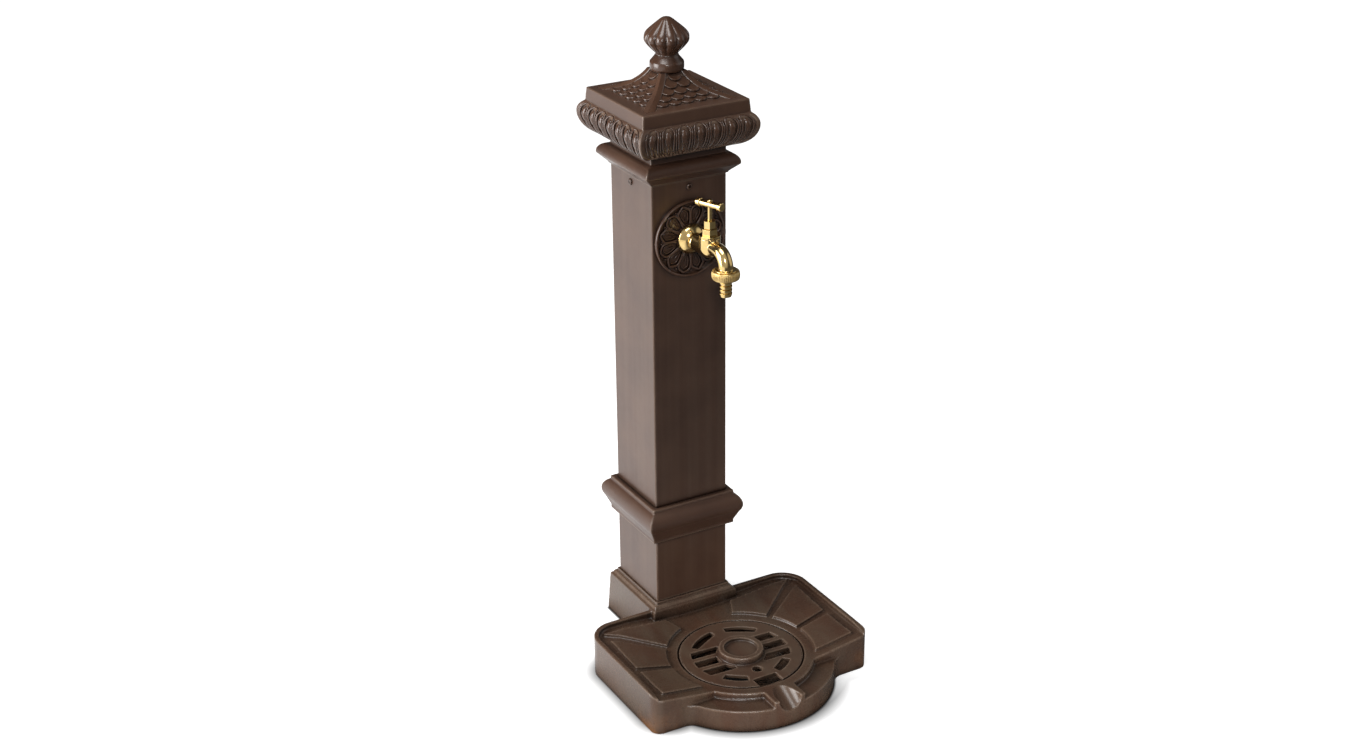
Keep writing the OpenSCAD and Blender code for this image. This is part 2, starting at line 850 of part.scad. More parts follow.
// Tap
module wall_flange() {
    dome_mid = flange_depth - flange_r;
    dome_flat = 1.2;
    wall = 2;
    color(brass) at_tap() translate([0, -medallion_t, 0]) rotate([90, 0, 0]) difference() {
        rotate_extrude() intersection() {
            translate([0, dome_mid]) circle(r = flange_r + dome_flat);
            square([flange_r, flange_depth]);
        }
        hole(tail_r + slip, 0, flange_depth);
        rotate_extrude() intersection() {
            translate([0, dome_mid - wall - stop_gap]) circle(r = flange_r);
            translate([0, -overrun]) square([flange_r - wall, flange_depth - wall + stop_gap]);
        }
    }
}

// Bent spout: a run forward from the globe and a quarter turn down to the mouth
module spout_sweep(r, start, mouth) {
    bend_at = spout_reach - spout_bend;
    translate([0, 0, spout_rise]) along_y(r, bend_at, -start);
    translate([0, -bend_at, spout_mouth]) rotate([90, 0, -90])
        rotate_extrude(angle = 90) translate([spout_bend, 0]) circle(r = r);
    translate([0, -spout_reach, mouth]) cylinder(h = spout_mouth - mouth, r = r);
}

// Globe round the valve: a straight wall on a round bottom
module globe() {
    round_mid = globe_r - globe_drop;
    rotate_extrude() {
        translate([0, round_mid]) square([globe_r, body_top - round_mid]);
        intersection() {
            translate([0, round_mid]) circle(r = globe_r);
            translate([0, -globe_drop]) square([globe_r, round_mid + globe_drop]);
        }
    }
}

module tap_body() {
    outlet_start = bore_r + 2.5;
    barrel_r = tail_r - bonnet_step;
    tail_front = medallion_t + flange_depth + 2;
    thread_h = union_thread_len - stop_gap;
    inlet_end = tap_reach + 2;
    color(brass) difference() {
        union() {
            at_tap() along_y(tail_r, tail_front, tail_len);
            at_tap() along_y(barrel_r, tap_reach, 0);
            at_spindle() globe();
            at_spindle() spout_sweep(spout_r, 0, union_face + overrun);
            at_spout() translate([0, 0, union_face]) cylinder(h = thread_h, r = union_thread_r);
        }
        at_tap() along_y(bore_r, inlet_end, tail_len + overrun);
        at_spindle() {
            translate([0, 0, -2]) cylinder(h = body_top, r = bore_r + bonnet_step);
            translate([0, 0, seat_rise]) cylinder(h = body_top, r = chamber_r);
            translate([0, 0, valve_top]) cylinder(h = body_top, r = bonnet_seat_r);
            spout_sweep(outlet_r, outlet_start, union_face - overrun);
        }
    }
}

module back_washer() {
    washer_r = tail_r + 7;
    color(steel) at_tap() translate([0, column_wall, 0]) rotate([-90, 0, 0])
        tube(washer_r, tail_r + slip, 0, back_washer_t);
}

module back_nut() {
    low = column_wall + back_washer_t;
    nut_flats = 2 * tail_r + 9;
    color(brass) at_tap() rotate([-90, 0, 0]) difference() {
        hexagon(nut_flats, low, low + back_nut_t);
        hole(tail_r + slip, low, low + back_nut_t);
    }
}

module bonnet_washer() {
    color(rubber) at_spindle() tube(globe_r - stop_gap, bonnet_seat_r + slip, body_top, bonnet_low);
}

module bonnet() {
    skirt_foot = valve_top + stop_gap;
    hex_low = body_top + bonnet_flange_t;
    thread_top = screw_head + valve_lift + stop_gap;
    color(brass) at_spindle() difference() {
        union() {
            translate([0, 0, bonnet_low]) cylinder(h = hex_low - bonnet_low, r = globe_r);
            translate([0, 0, skirt_foot]) cylinder(h = bonnet_low - skirt_foot + eps, r = bonnet_seat_r - slip);
            hexagon(bonnet_flats, hex_low - eps, bonnet_top);
            translate([0, 0, bonnet_top - eps]) cylinder(h = gland_neck_h, r = gland_neck_r);
        }
        translate([0, 0, skirt_foot - overrun])
            cylinder(h = bonnet_room - skirt_foot + overrun, r = jumper_r + stop_gap);
        translate([0, 0, bonnet_room - eps]) cylinder(h = thread_top - bonnet_room, r = screw_r + spindle_gap);
        translate([0, 0, bonnet_room]) cylinder(h = bonnet_top, r = stem_r + spindle_gap);
        translate([0, 0, packing_low]) cylinder(h = gland_neck_h, r = packing_r);
    }
}

module gland_packing() {
    color(rubber) at_spindle() tube(packing_r - slip, stem_r + hole_gap, packing_low, packing_top);
}

module gland_nut() {
    low = bonnet_top + hole_gap;
    press_r = packing_r - slip;
    color(brass) at_spindle() difference() {
        hexagon(gland_flats, low, low + gland_nut_h);
        difference() {
            translate([0, 0, low - overrun]) cylinder(h = gland_neck_h + overrun + stop_gap, r = gland_neck_r + slip);
            translate([0, 0, packing_top]) cylinder(h = gland_neck_h, r = press_r);
        }
        hole(stem_r + hole_gap, low, low + gland_nut_h);
        translate([0, 0, low - overrun]) cylinder(h = packing_top - low + overrun, r = press_r);
    }
}

module spindle() {
    rivet_r = stem_r + 0.7;
    jumper_hole_h = 5;
    stem_h = bar_rise + bar_r + stop_gap - screw_head;
    color(brass) at_spindle() difference() {
        union() {
            translate([0, 0, screw_foot]) cylinder(h = screw_head - screw_foot, r = screw_r);
            translate([0, 0, screw_head - eps]) cylinder(h = stem_h, r = stem_r);
            translate([0, 0, bar_rise + bar_r]) intersection() {
                translate([0, 0, -rivet_r / 2]) sphere(r = 1.2 * rivet_r);
                cylinder(h = rivet_r, r = rivet_r);
            }
        }
        translate([0, 0, screw_foot - overrun]) cylinder(h = jumper_hole_h + overrun, r = stem_r);
    }
}

module handle_bar() {
    end_r = 1;
    rivet_flat = 0.02;
    color(brass) at_spindle() translate([0, 0, bar_rise]) rotate([0, 0, bar_turn]) difference() {
        rotate([0, 90, 0]) translate([0, 0, -bar_len / 2]) rotate_extrude() {
            square([bar_r, bar_len]);
            for (z = [0, bar_len - bar_end_len]) translate([0, z]) {
                square([bar_end_r - end_r, bar_end_len]);
                translate([0, end_r]) square([bar_end_r, bar_end_len - 2 * end_r]);
                for (y = [end_r, bar_end_len - end_r]) translate([bar_end_r - end_r, y]) circle(r = end_r);
            }
        }
        hole(stem_r + slip, -bar_r, bar_r);
        translate([0, 0, bar_r - rivet_flat]) cylinder(h = overrun, r = 2 * stem_r);
    }
}

module jumper_valve() {
    low = seat_rise + seat_gap + washer_t;
    pin_h = 5;
    color(brass) at_spindle() {
        translate([0, 0, low]) cylinder(h = jumper_t, r = jumper_r);
        translate([0, 0, low + jumper_t - eps]) cylinder(h = pin_h, r = stem_r - hole_gap);
    }
}

module tap_washer() {
    color(rubber) at_spindle() translate([0, 0, seat_rise + seat_gap]) cylinder(h = washer_t, r = jumper_r);
}

// Hose union
module union_washer() {
    color(rubber) at_spout() tube(union_thread_r - 1, outlet_r, union_face - union_washer_t, union_face);
}

module hose_tail() {
    neck_h = 2;
    foot = union_lip - union_lip_t - neck_h - hose_len;
    barb = hose_len / barbs;
    land = barb / 3;
    root_r = hose_r - 1;
    neck_r = hose_r - 0.5;
    flange_rim = union_thread_r - 0.8;
    color(brass) at_spout() difference() {
        union() {
            translate([0, 0, union_lip]) cylinder(h = hose_flange_t, r = flange_rim);
            translate([0, 0, foot + hose_len - eps]) cylinder(h = union_lip - foot - hose_len + 2 * eps, r = neck_r);
            for (i = [0:barbs - 1]) translate([0, 0, foot + i * barb]) {
                cylinder(h = barb - land + eps, r1 = root_r, r2 = hose_r);
                translate([0, 0, barb - land]) cylinder(h = land, r = hose_r);
            }
        }
        hole(bore_r, foot, union_lip + hose_flange_t);
    }
}

module union_nut() {
    low = union_lip - union_lip_t;
    thread_gap = 0.15;
    color(brass) at_spout() difference() {
        translate([0, 0, low]) cylinder(h = union_nut_h, r = union_nut_r);
        hole(hose_r + tail_gap, low, union_lip);
        translate([0, 0, union_lip]) cylinder(h = union_nut_h, r = union_thread_r + thread_gap);
    }
}

// Supply inside the column
module riser_elbow() {
    socket_r = tail_r + elbow_wall;
    pipe_r = riser_r + elbow_wall;
    tail_end = column_half - tail_len;
    tail_socket = 12;
    drop = elbow_bend + 16;
    pipe_stop = elbow_bend + 3;
    color(brass) at_column() translate([0, 0, tap_z]) difference() {
        union() {
            along_y(socket_r, tail_end + tail_socket, -elbow_bend);
            translate([0, -elbow_bend, -elbow_bend]) rotate([90, 0, 90])
                rotate_extrude(angle = 90) translate([elbow_bend, 0]) circle(r = pipe_r);
            translate([0, 0, -drop]) cylinder(h = drop - elbow_bend, r = pipe_r);
        }
        along_y(tail_r + slip, tail_end + tail_socket + overrun, -tail_end);
        along_y(bore_r, tail_end + tail_socket + overrun, -elbow_bend);
        translate([0, -elbow_bend, -elbow_bend]) rotate([90, 0, 90])
            rotate_extrude(angle = 90) translate([elbow_bend, 0]) circle(r = bore_r);
        translate([0, 0, -drop - overrun]) cylinder(h = drop - elbow_bend + overrun, r = bore_r);
        translate([0, 0, -drop - overrun]) cylinder(h = drop - pipe_stop + overrun, r = riser_r + slip);
    }
}

module riser_pipe() {
    top_gap = 4;
    top = tap_z - elbow_bend - top_gap;
    color(copper) at_column() tube(riser_r, riser_r - riser_wall, inlet_top - riser_socket, top);
}

module inlet_fitting() {
    flange_low = plinth_h + foot_plate_t;
    flange_rim = inlet_body_r + 6;
    color(brass) at_column() difference() {
        union() {
            translate([0, 0, inlet_foot]) cylinder(h = flange_low - inlet_foot + eps, r = inlet_body_r);
            translate([0, 0, flange_low]) cylinder(h = inlet_flange_t, r = flange_rim);
            translate([0, 0, flange_low]) cylinder(h = inlet_top - flange_low, r = riser_r + elbow_wall);
        }
        translate([0, 0, inlet_foot - overrun]) cylinder(h = inlet_depth + overrun, r = inlet_r);
        translate([0, 0, inlet_foot]) cylinder(h = inlet_top, r = bore_r);
        translate([0, 0, inlet_top - riser_socket]) cylinder(h = riser_socket + overrun, r = riser_r + slip);
    }
}

module inlet_nut() {
    nut_t = 7;
    nut_flats = 2 * inlet_body_r + 8;
    color(brass) at_column() difference() {
        hexagon(nut_flats, deck_under - nut_t, deck_under);
        hole(inlet_body_r + slip, deck_under - nut_t, deck_under);
    }
}

base_casting();
drain_grate();
foot_plate();
foot_bolts();
column_tube();
lower_ring();
cap_casting();
cap_screws();
finial();
finial_stud();
finial_nut();
medallion();
wall_flange();
tap_body();
back_washer();
back_nut();
bonnet_washer();
bonnet();
gland_packing();
gland_nut();
spindle();
handle_bar();
jumper_valve();
tap_washer();
union_washer();
hose_tail();
union_nut();
riser_elbow();
riser_pipe();
inlet_fitting();
inlet_nut();
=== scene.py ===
import math
from functools import partial

import bmesh
import bpy
import numpy as np
from mathutils import Matrix, Vector


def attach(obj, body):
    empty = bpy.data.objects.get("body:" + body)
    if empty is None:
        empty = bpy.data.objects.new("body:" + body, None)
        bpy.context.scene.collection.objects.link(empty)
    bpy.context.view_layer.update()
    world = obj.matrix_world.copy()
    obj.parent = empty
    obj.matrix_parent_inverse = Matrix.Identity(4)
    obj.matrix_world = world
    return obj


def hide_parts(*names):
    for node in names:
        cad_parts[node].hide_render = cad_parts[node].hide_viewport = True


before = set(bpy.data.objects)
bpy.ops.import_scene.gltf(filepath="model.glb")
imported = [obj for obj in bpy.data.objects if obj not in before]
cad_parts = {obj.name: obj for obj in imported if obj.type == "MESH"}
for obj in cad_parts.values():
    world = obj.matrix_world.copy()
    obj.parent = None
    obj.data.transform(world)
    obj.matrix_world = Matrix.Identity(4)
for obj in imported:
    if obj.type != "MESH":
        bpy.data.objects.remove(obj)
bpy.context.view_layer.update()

scene = bpy.context.scene
scene.view_settings.view_transform = "Standard"

# The photograph's view: from the front left and above, through a lens a little longer than normal.
# The azimuth and elevation are those of the line from the column to the camera.
view_azimuth, view_elevation, view_roll = math.radians(-29.45), math.radians(24.46), math.radians(-0.48)
view_place = Vector((-1.0995, -1.8772, 1.3742))
back = Vector((math.sin(view_azimuth) * math.cos(view_elevation),
               -math.cos(view_azimuth) * math.cos(view_elevation),
               math.sin(view_elevation)))
level = Vector((0, 0, 1)).cross(back).normalized()
upright = back.cross(level)
right = math.cos(view_roll) * level + math.sin(view_roll) * upright
up = math.cos(view_roll) * upright - math.sin(view_roll) * level
camera = bpy.data.objects.new("camera", bpy.data.cameras.new("camera"))
camera.data.sensor_width = 36.0
camera.data.lens = 53.36
camera.data.clip_end = 50
turn = Matrix((right, up, back)).transposed().to_4x4()
camera.matrix_world = Matrix.Translation(view_place) @ turn
scene.collection.objects.link(camera)
scene.camera = camera

# Floor: a wide sheet of pale paper. To the camera it glows white, with a painted shadow at the foot: its glow
# and colour fade by distance from the base's plan at the left and front, over the real shadow.
# What shiny pieces see of it is a painted reflection: it glows for glossy rays, bright behind and at the
# left, dark at the right and beside the base, and its colour is darker for them.
floor_half = 6.0
basin_plan = (0, -0.033), (0.148, 0.088), 0.034
plinth_plan = (0, 0.08), (0.0625, 0.0855), 0.002
round_front, round_front_r = (0, -0.067, 0), 0.115
hidden_reach, shade_reach = 0.003, 0.024
paper_tone, paper_mirrored, paper_painted_shade = 0.7, 0.12, 0.06
floor_mesh = bpy.data.meshes.new("floor")
floor_mesh.from_pydata([(-floor_half, -floor_half, 0), (floor_half, -floor_half, 0),
                        (floor_half, floor_half, 0), (-floor_half, floor_half, 0)], [], [(0, 1, 2, 3)])
floor = bpy.data.objects.new("floor", floor_mesh)
scene.collection.objects.link(floor)


def shader_tree(name):
    """A new node material: its nodes, its links and its principled shader."""
    material = bpy.data.materials.new(name)
    material.use_nodes = True
    tree = material.node_tree
    return material, tree.nodes, tree.links, tree.nodes["Principled BSDF"]


def mapped(nodes, links, value, low, high, new_low, new_high):
    """A socket with the value's range from low to high spread over a new range, and kept inside it."""
    made = nodes.new("ShaderNodeMapRange")
    for label, number in (("From Min", low), ("From Max", high), ("To Min", new_low), ("To Max", new_high)):
        made.inputs[label].default_value = number
    links.new(value, made.inputs["Value"])
    return made.outputs["Result"]


def worked(nodes, links, operation, one, other):
    """A socket with the sum, product or other operation of two sockets."""
    made = nodes.new("ShaderNodeMath")
    made.operation = operation
    links.new(one, made.inputs[0])
    links.new(other, made.inputs[1])
    return made.outputs[0]


def towards(nodes, links, vector, direction):
    """A socket that measures a vector along a direction."""
    made = nodes.new("ShaderNodeVectorMath")
    made.operation = "DOT_PRODUCT"
    made.inputs[1].default_value = direction
    links.new(vector, made.inputs[0])
    return made.outputs["Value"]


def beside(nodes, links, spot, middle, half, corner):
    """A socket with the distance from a point of the floor to a rectangle on it that has round corners."""
    inner = (half[0] - corner, half[1] - corner, 0)
    value = spot
    for operation, vector in (("SUBTRACT", (*middle, 0)), ("ABSOLUTE", None), ("SUBTRACT", inner),
                              ("MAXIMUM", (0, 0, 0)), ("LENGTH", None)):
        step = nodes.new("ShaderNodeVectorMath")
        step.operation = operation
        links.new(value, step.inputs[0])
        if vector:
            step.inputs[1].default_value = vector
        value = step.outputs["Value" if operation == "LENGTH" else "Vector"]
    return mapped(nodes, links, value, corner, corner + 1, 0, 1)


floor_material, nodes, links, shader = shader_tree("pale_paper")
path = nodes.new("ShaderNodeLightPath")
shader.inputs["Roughness"].default_value = 0.9
shader.inputs["Specular IOR Level"].default_value = 0.0
shader.inputs["Emission Color"].default_value = (1, 1, 1, 1)
spot = nodes.new("ShaderNodeNewGeometry").outputs["Position"]
to_base = worked(nodes, links, "MINIMUM", beside(nodes, links, spot, *basin_plan),
                 beside(nodes, links, spot, *plinth_plan))
bulge = nodes.new("ShaderNodeVectorMath")
bulge.operation = "DISTANCE"
bulge.inputs[1].default_value = round_front
links.new(spot, bulge.inputs[0])
to_bulge = mapped(nodes, links, bulge.outputs["Value"], round_front_r, round_front_r + 1, 0, 1)
to_base = worked(nodes, links, "MINIMUM", to_base, to_bulge)
# Painted shadow: the floor's glow and colour fall off towards the base and under it; far_side keeps the right
# and back free of it.
near_side = mapped(nodes, links, to_base, 0, shade_reach, 0.12, 1)
far_side = mapped(nodes, links, towards(nodes, links, spot, (-0.8, -0.6, 0)), -0.04, 0.08, 1, 0)
free_of_painted_shade = worked(nodes, links, "MAXIMUM", near_side, far_side)
free_of_painted_shade = worked(nodes, links, "MULTIPLY", free_of_painted_shade, mapped(nodes, links, to_base, 0, hidden_reach, 0, 1))
# Painted reflection: the paper's colour is darker for glossy rays.
tone = mapped(nodes, links, path.outputs["Is Glossy Ray"], 0, 1, paper_tone, paper_mirrored)
# Painted shade in the floor's colour beside and under the base.
tone = worked(nodes, links, "MULTIPLY", tone, mapped(nodes, links, free_of_painted_shade, 0, 1, paper_painted_shade, 1))
links.new(tone, shader.inputs["Base Color"])
# Painted shadow in the glow that the camera sees.
paper = worked(nodes, links, "ADD", mapped(nodes, links, free_of_painted_shade, 0, 1, 0, 0.8),
               mapped(nodes, links, to_base, 0.05, 0.8, 0, 0.2))
seen = worked(nodes, links, "MAXIMUM", path.outputs["Is Camera Ray"], path.outputs["Is Transmission Ray"])
# Painted reflection: the floor glows for glossy rays only, bright at the left and behind, dark at the right
# and beside the base.
mirrored = worked(nodes, links, "MULTIPLY", path.outputs["Is Glossy Ray"],
                  mapped(nodes, links, towards(nodes, links, spot, (-0.7, 0.7, 0)), -0.05, 0.2, 0.08, 1.4))
mirrored = worked(nodes, links, "MULTIPLY", mirrored, mapped(nodes, links, to_base, 0.0, 0.03, 0, 1))
glow = worked(nodes, links, "MAXIMUM", worked(nodes, links, "MULTIPLY", seen, paper), mirrored)
links.new(glow, shader.inputs["Emission Strength"])
floor_mesh.materials.append(floor_material)

# Studio light: a wide soft box at the left behind, one overhead, a small one in front for the highlights,
# and a low strip that brightens the basin's front. The walls are white to the camera, and shiny pieces
# see a dim panel on the left of them and a narrow bright one on the right.
world = bpy.data.worlds.new("studio")
scene.world = world
world.use_nodes = True
nodes, links = world.node_tree.nodes, world.node_tree.links
path = nodes.new("ShaderNodeLightPath")
outward = nodes.new("ShaderNodeTexCoord").outputs["Generated"]
seen = worked(nodes, links, "MAXIMUM", path.outputs["Is Camera Ray"], path.outputs["Is Transmission Ray"])
left_panel = mapped(nodes, links, towards(nodes, links, outward, (-0.6, -0.55, 0.58)), 0.5, 0.75, 0.08, 0.6)
right_panel = mapped(nodes, links, towards(nodes, links, outward, (0.88, -0.37, 0.3)), 0.86, 0.94, 0, 0.8)
mirrored = worked(nodes, links, "MULTIPLY", path.outputs["Is Glossy Ray"],
                  worked(nodes, links, "MAXIMUM", left_panel, right_panel))
direct = worked(nodes, links, "MAXIMUM", seen, mirrored)
ambient = mapped(nodes, links, path.outputs["Is Diffuse Ray"], 0, 1, 0.0, 0.04)
nodes["Background"].inputs["Color"].default_value = (1, 1, 1, 1)
links.new(worked(nodes, links, "MAXIMUM", direct, ambient), nodes["Background"].inputs["Strength"])


def soft_box(name, place, aim, width, height, power, spread=180):
    """A rectangular lamp at a place, turned to a point, which the camera doesn't see."""
    lamp = bpy.data.lights.new(name, "AREA")
    lamp.shape = "RECTANGLE"
    lamp.size, lamp.size_y, lamp.energy = width, height, power
    lamp.spread = math.radians(spread)
    holder = bpy.data.objects.new(name, lamp)
    holder.location = place
    holder.rotation_euler = (Vector(aim) - Vector(place)).to_track_quat("-Z", "Y").to_euler()
    holder.visible_camera = False
    scene.collection.objects.link(holder)


soft_box("left_box", (-1.9, 0.6, 0.9), (0, 0.1, 0.4), 1.2, 1.4, 55)
soft_box("top_box", (-0.5, -0.1, 2.3), (0, 0, 0.2), 0.9, 0.9, 19)
soft_box("low_strip", (-0.14, -0.44, 0.02), (0.02, -0.1, 0.025), 0.35, 0.025, 0.16, 60)
soft_box("front_box", (-0.75, -1.35, 1.45), (0, 0, 0.4), 0.3, 0.3, 10)

# Base casting: the square plinth and the drip basin, cast in iron as one piece and painted brown.
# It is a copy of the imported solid, given the round edges that a sand mould leaves. The rim of each wing
# runs down to the front corner.
mm = 0.001
paint_dark = (0.058, 0.027, 0.0165)
paint_light = (0.084, 0.042, 0.025)
paint_worn = (0.135, 0.086, 0.058)
# Lighter paint for sharp edges: partly paint worn thin, partly a painted highlight.
edge_wear_and_highlight = (0.200, 0.138, 0.098)
paint_dust = (0.100, 0.076, 0.052)
# Near black for corners and creases: painted shade.
painted_crease_shade = tuple(0.25 * part for part in paint_dark)
rust_orange = (0.240, 0.095, 0.026)
edge_reach, crease_reach, fine_crease_reach = 3 * mm, 9 * mm, 4 * mm
base_voxel, base_triangles = 0.95 * mm, 195000
wing_from, wing_front, front_ease, front_low = 130 * mm, -121 * mm, 16 * mm, 48.5 * mm


def piece(name, mesh):
    """A new object at the origin that shows this mesh."""
    made = bpy.data.objects.new(name, mesh)
    scene.collection.objects.link(made)
    return made


def set_plain(made):
    """Turns what the modifiers give into the object's own mesh, and takes them off."""
    bpy.context.view_layer.update()
    graph = bpy.context.evaluated_depsgraph_get()
    mesh = bpy.data.meshes.new_from_object(made.evaluated_get(graph), preserve_all_data_layers=True,
                                           depsgraph=graph)
    mesh.name = made.name
    made.modifiers.clear()
    made.data = mesh
    return made


def merged_copy(name, node):
    """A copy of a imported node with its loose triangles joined."""
    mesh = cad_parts[node].data.copy()
    mesh.materials.clear()
    work = bmesh.new()
    work.from_mesh(mesh)
    bmesh.ops.remove_doubles(work, verts=work.verts, dist=1e-6)
    work.to_mesh(mesh)
    work.free()
    for layer in ("custom_normal", "sharp_edge", "sharp_face"):
        if layer in mesh.attributes:
            mesh.attributes.remove(mesh.attributes[layer])
    return piece(name, mesh)


def cast_skin(made, voxel, triangles, passes=3):
    """Gives a piece the soft edges of a casting: remeshed, relaxed and thinned to a number of triangles."""
    skin = made.modifiers.new("skin", "REMESH")
    skin.mode = "VOXEL"
    skin.voxel_size = voxel
    relax = made.modifiers.new("relax", "SMOOTH")
    relax.factor = 0.5
    relax.iterations = passes
    set_plain(made)
    thin = made.modifiers.new("thin", "DECIMATE")
    thin.ratio = min(1.0, triangles / (2 * len(made.data.polygons)))
    set_plain(made)
    made.data.shade_smooth()
    return made


def grain(nodes, links, spot, scale, detail=2, stretch=None):
    """A socket with noise of this fineness over a piece, stretched along its axes where that is given."""
    made = nodes.new("ShaderNodeTexNoise")
    made.inputs["Scale"].default_value = scale
    made.inputs["Detail"].default_value = detail
    if stretch:
        mapping = nodes.new("ShaderNodeMapping")
        mapping.inputs["Scale"].default_value = stretch
        links.new(spot, mapping.inputs["Vector"])
        spot = mapping.outputs["Vector"]
    links.new(spot, made.inputs["Vector"])
    return made.outputs["Fac"]


def mixed(nodes, links, factor, one, other):
    """A socket with a blend of two colours, each given as numbers or as a socket."""
    made = nodes.new("ShaderNodeMix")
    made.data_type = "RGBA"
    links.new(factor, made.inputs["Factor"])
    for socket, colour in ((made.inputs["A"], one), (made.inputs["B"], other)):
        if isinstance(colour, tuple):
            socket.default_value = (*colour, 1)
        else:
            links.new(colour, socket)
    return made.outputs["Result"]


def bumped(nodes, links, height, strength, distance):
    """A bump node whose height is a socket's value."""
    made = nodes.new("ShaderNodeBump")
    made.inputs["Strength"].default_value = strength
    made.inputs["Distance"].default_value = distance
    links.new(height, made.inputs["Height"])
    return made


def closeness(nodes, distance, inside):
    """A socket that falls from 1 near the solid's own edges if inside, or else near hollow corners."""
    made = nodes.new("ShaderNodeAmbientOcclusion")
    made.samples, made.inside = 5, inside
    made.inputs["Distance"].default_value = distance
    return made.outputs["AO"]


def brown_paint(name, grit=0.3, gloss=0.4, edges=True, streaks=False, dusty=False, rust=False):
    """Dark brown satin paint: two browns, a sandy bump, worn thin on sharp edges with a painted highlight
    there, and painted shade in corners.
    """
    material, nodes, links, shader = shader_tree(name)
    spot = nodes.new("ShaderNodeTexCoord").outputs["Object"]
    noise = partial(grain, nodes, links, spot)
    ranged = partial(mapped, nodes, links)
    times = partial(worked, nodes, links, "MULTIPLY")
    blend = partial(mixed, nodes, links)
    colour = blend(ranged(noise(16, 6), 0.32, 0.68, 0, 1), paint_dark, paint_light)
    if streaks:
        streak = noise(1.0, 3, (95, 95, 2.2))
        colour = blend(ranged(streak, 0.35, 0.75, 0, 0.3), colour, paint_worn)
    if dusty:
        brushed = noise(1.0, 4, (45, 12, 12))
        colour = blend(ranged(brushed, 0.36, 0.68, 0.05, 0.5), colour, paint_dust)
    if edges:
        # Sharp edges lightened in patches: worn paint and also a painted highlight.
        patchy = ranged(noise(70, 3), 0.3, 0.7, 0.45, 1.0)
        rubbed_and_highlit = ranged(closeness(nodes, edge_reach, True), 0.93, 0.6, 0, 1)
        colour = blend(times(rubbed_and_highlit, patchy), colour, edge_wear_and_highlight)
    # Corners and creases darkened by the nearness of other surfaces: painted shade.
    crease = closeness(nodes, crease_reach if edges else fine_crease_reach, False)
    colour = blend(ranged(crease, 0.93, 0.5, 0, 0.95), colour, painted_crease_shade)
    if rust:
        parts = nodes.new("ShaderNodeSeparateXYZ")
        links.new(spot, parts.inputs[0])
        side = nodes.new("ShaderNodeMath")
        side.operation = "ABSOLUTE"
        links.new(parts.outputs["X"], side.inputs[0])
        low_down = times(ranged(parts.outputs["Z"], 0.002, 0.030, 1, 0),
                         ranged(side.outputs[0], 0.118, 0.148, 0, 1))
        near_front = times(low_down, ranged(parts.outputs["Y"], -0.075, -0.115, 0, 1))
        colour = blend(times(near_front, ranged(noise(34, 4), 0.35, 0.62, 0, 0.75)), colour, rust_orange)
    links.new(colour, shader.inputs["Base Color"])
    links.new(ranged(noise(120, 3), 0.3, 0.7, gloss - 0.02, gloss + 0.03), shader.inputs["Roughness"])
    uneven = bumped(nodes, links, noise(85, 2), 0.02 + 0.2 * grit, 0.6 * mm)
    sandy = bumped(nodes, links, noise(750, 3), grit, 0.25 * mm)
    links.new(uneven.outputs["Normal"], sandy.inputs["Normal"])
    links.new(sandy.outputs["Normal"], shader.inputs["Normal"])
    return material


base = cast_skin(merged_copy("base", "base_casting"), base_voxel, base_triangles, 1)
for vertex in base.data.vertices:
    if abs(vertex.co.x) > wing_from and vertex.co.z > front_low:
        share = min(max((vertex.co.y - wing_front) / front_ease, 0), 1)
        vertex.co.z = front_low + (vertex.co.z - front_low) * share * share * (3 - 2 * share)
base.data.materials.append(brown_paint("cast_base_paint", grit=0.2, gloss=0.27, dusty=True, rust=True))
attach(base, "stand")
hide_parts("base_casting")

# Drain grate: a round slotted plate with a cup in the middle, cast in iron and painted like the basin.
# It lies loose on the sump's ledge and lifts out by the finger notch. Its rim is drawn in a little,
# for the dark ring of the gap.
grate_paint = brown_paint("cast_grate_paint", grit=0.3, gloss=0.36, dusty=True)
grate = cast_skin(merged_copy("grate", "drain_grate"), 0.65 * mm, 120000, 2)
grate_axis = Vector(round_front)
rim_from, ring_gap = 75 * mm, 1.3 * mm
for vertex in grate.data.vertices:
    away = vertex.co - grate_axis
    reach = math.hypot(away.x, away.y)
    if reach > rim_from:
        vertex.co.x = grate_axis.x + away.x * (reach - ring_gap) / reach
        vertex.co.y = grate_axis.y + away.y * (reach - ring_gap) / reach
grate.data.materials.append(grate_paint)
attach(grate, "grate")
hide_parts("drain_grate")

# Column: a square steel tube, painted, which stands on the plinth's deck.
# The foot plate is welded in its lower end, and four bolts come up through the deck into that plate.
def zinc_steel(name):
    """Zinc plated steel: grey metal with a faint spangle and small scuffs."""
    material, nodes, links, shader = shader_tree(name)
    spot = nodes.new("ShaderNodeTexCoord").outputs["Object"]
    spangle = nodes.new("ShaderNodeTexVoronoi")
    spangle.inputs["Scale"].default_value = 240
    links.new(spot, spangle.inputs["Vector"])
    tone = mixed(nodes, links, spangle.outputs["Distance"], (0.46, 0.47, 0.49), (0.62, 0.62, 0.63))
    links.new(tone, shader.inputs["Base Color"])
    shader.inputs["Metallic"].default_value = 1.0
    scuff = grain(nodes, links, spot, 400)
    links.new(mapped(nodes, links, scuff, 0, 1, 0.3, 0.5), shader.inputs["Roughness"])
    return material


def give(material, *node_names):
    """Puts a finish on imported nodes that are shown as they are."""
    for node_name in node_names:
        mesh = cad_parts[node_name].data
        mesh.materials.clear()
        mesh.materials.append(material)


give(zinc_steel("zinc_plate"), "foot_plate", "foot_bolts")
give(brown_paint("tube_paint", grit=0.06, gloss=0.32, streaks=True), "column_tube")

# Lower ring: a half-round moulding cast as a square ring and pushed down the tube.
# Its skin is sandier than the other castings', because the mould wasn't dressed.
ring_paint = brown_paint("cast_ring_paint", grit=0.6)
ring = cast_skin(merged_copy("ring", "lower_ring"), 0.9 * mm, 70000)
ring.data.materials.append(ring_paint)
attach(ring, "stand")
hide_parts("lower_ring")

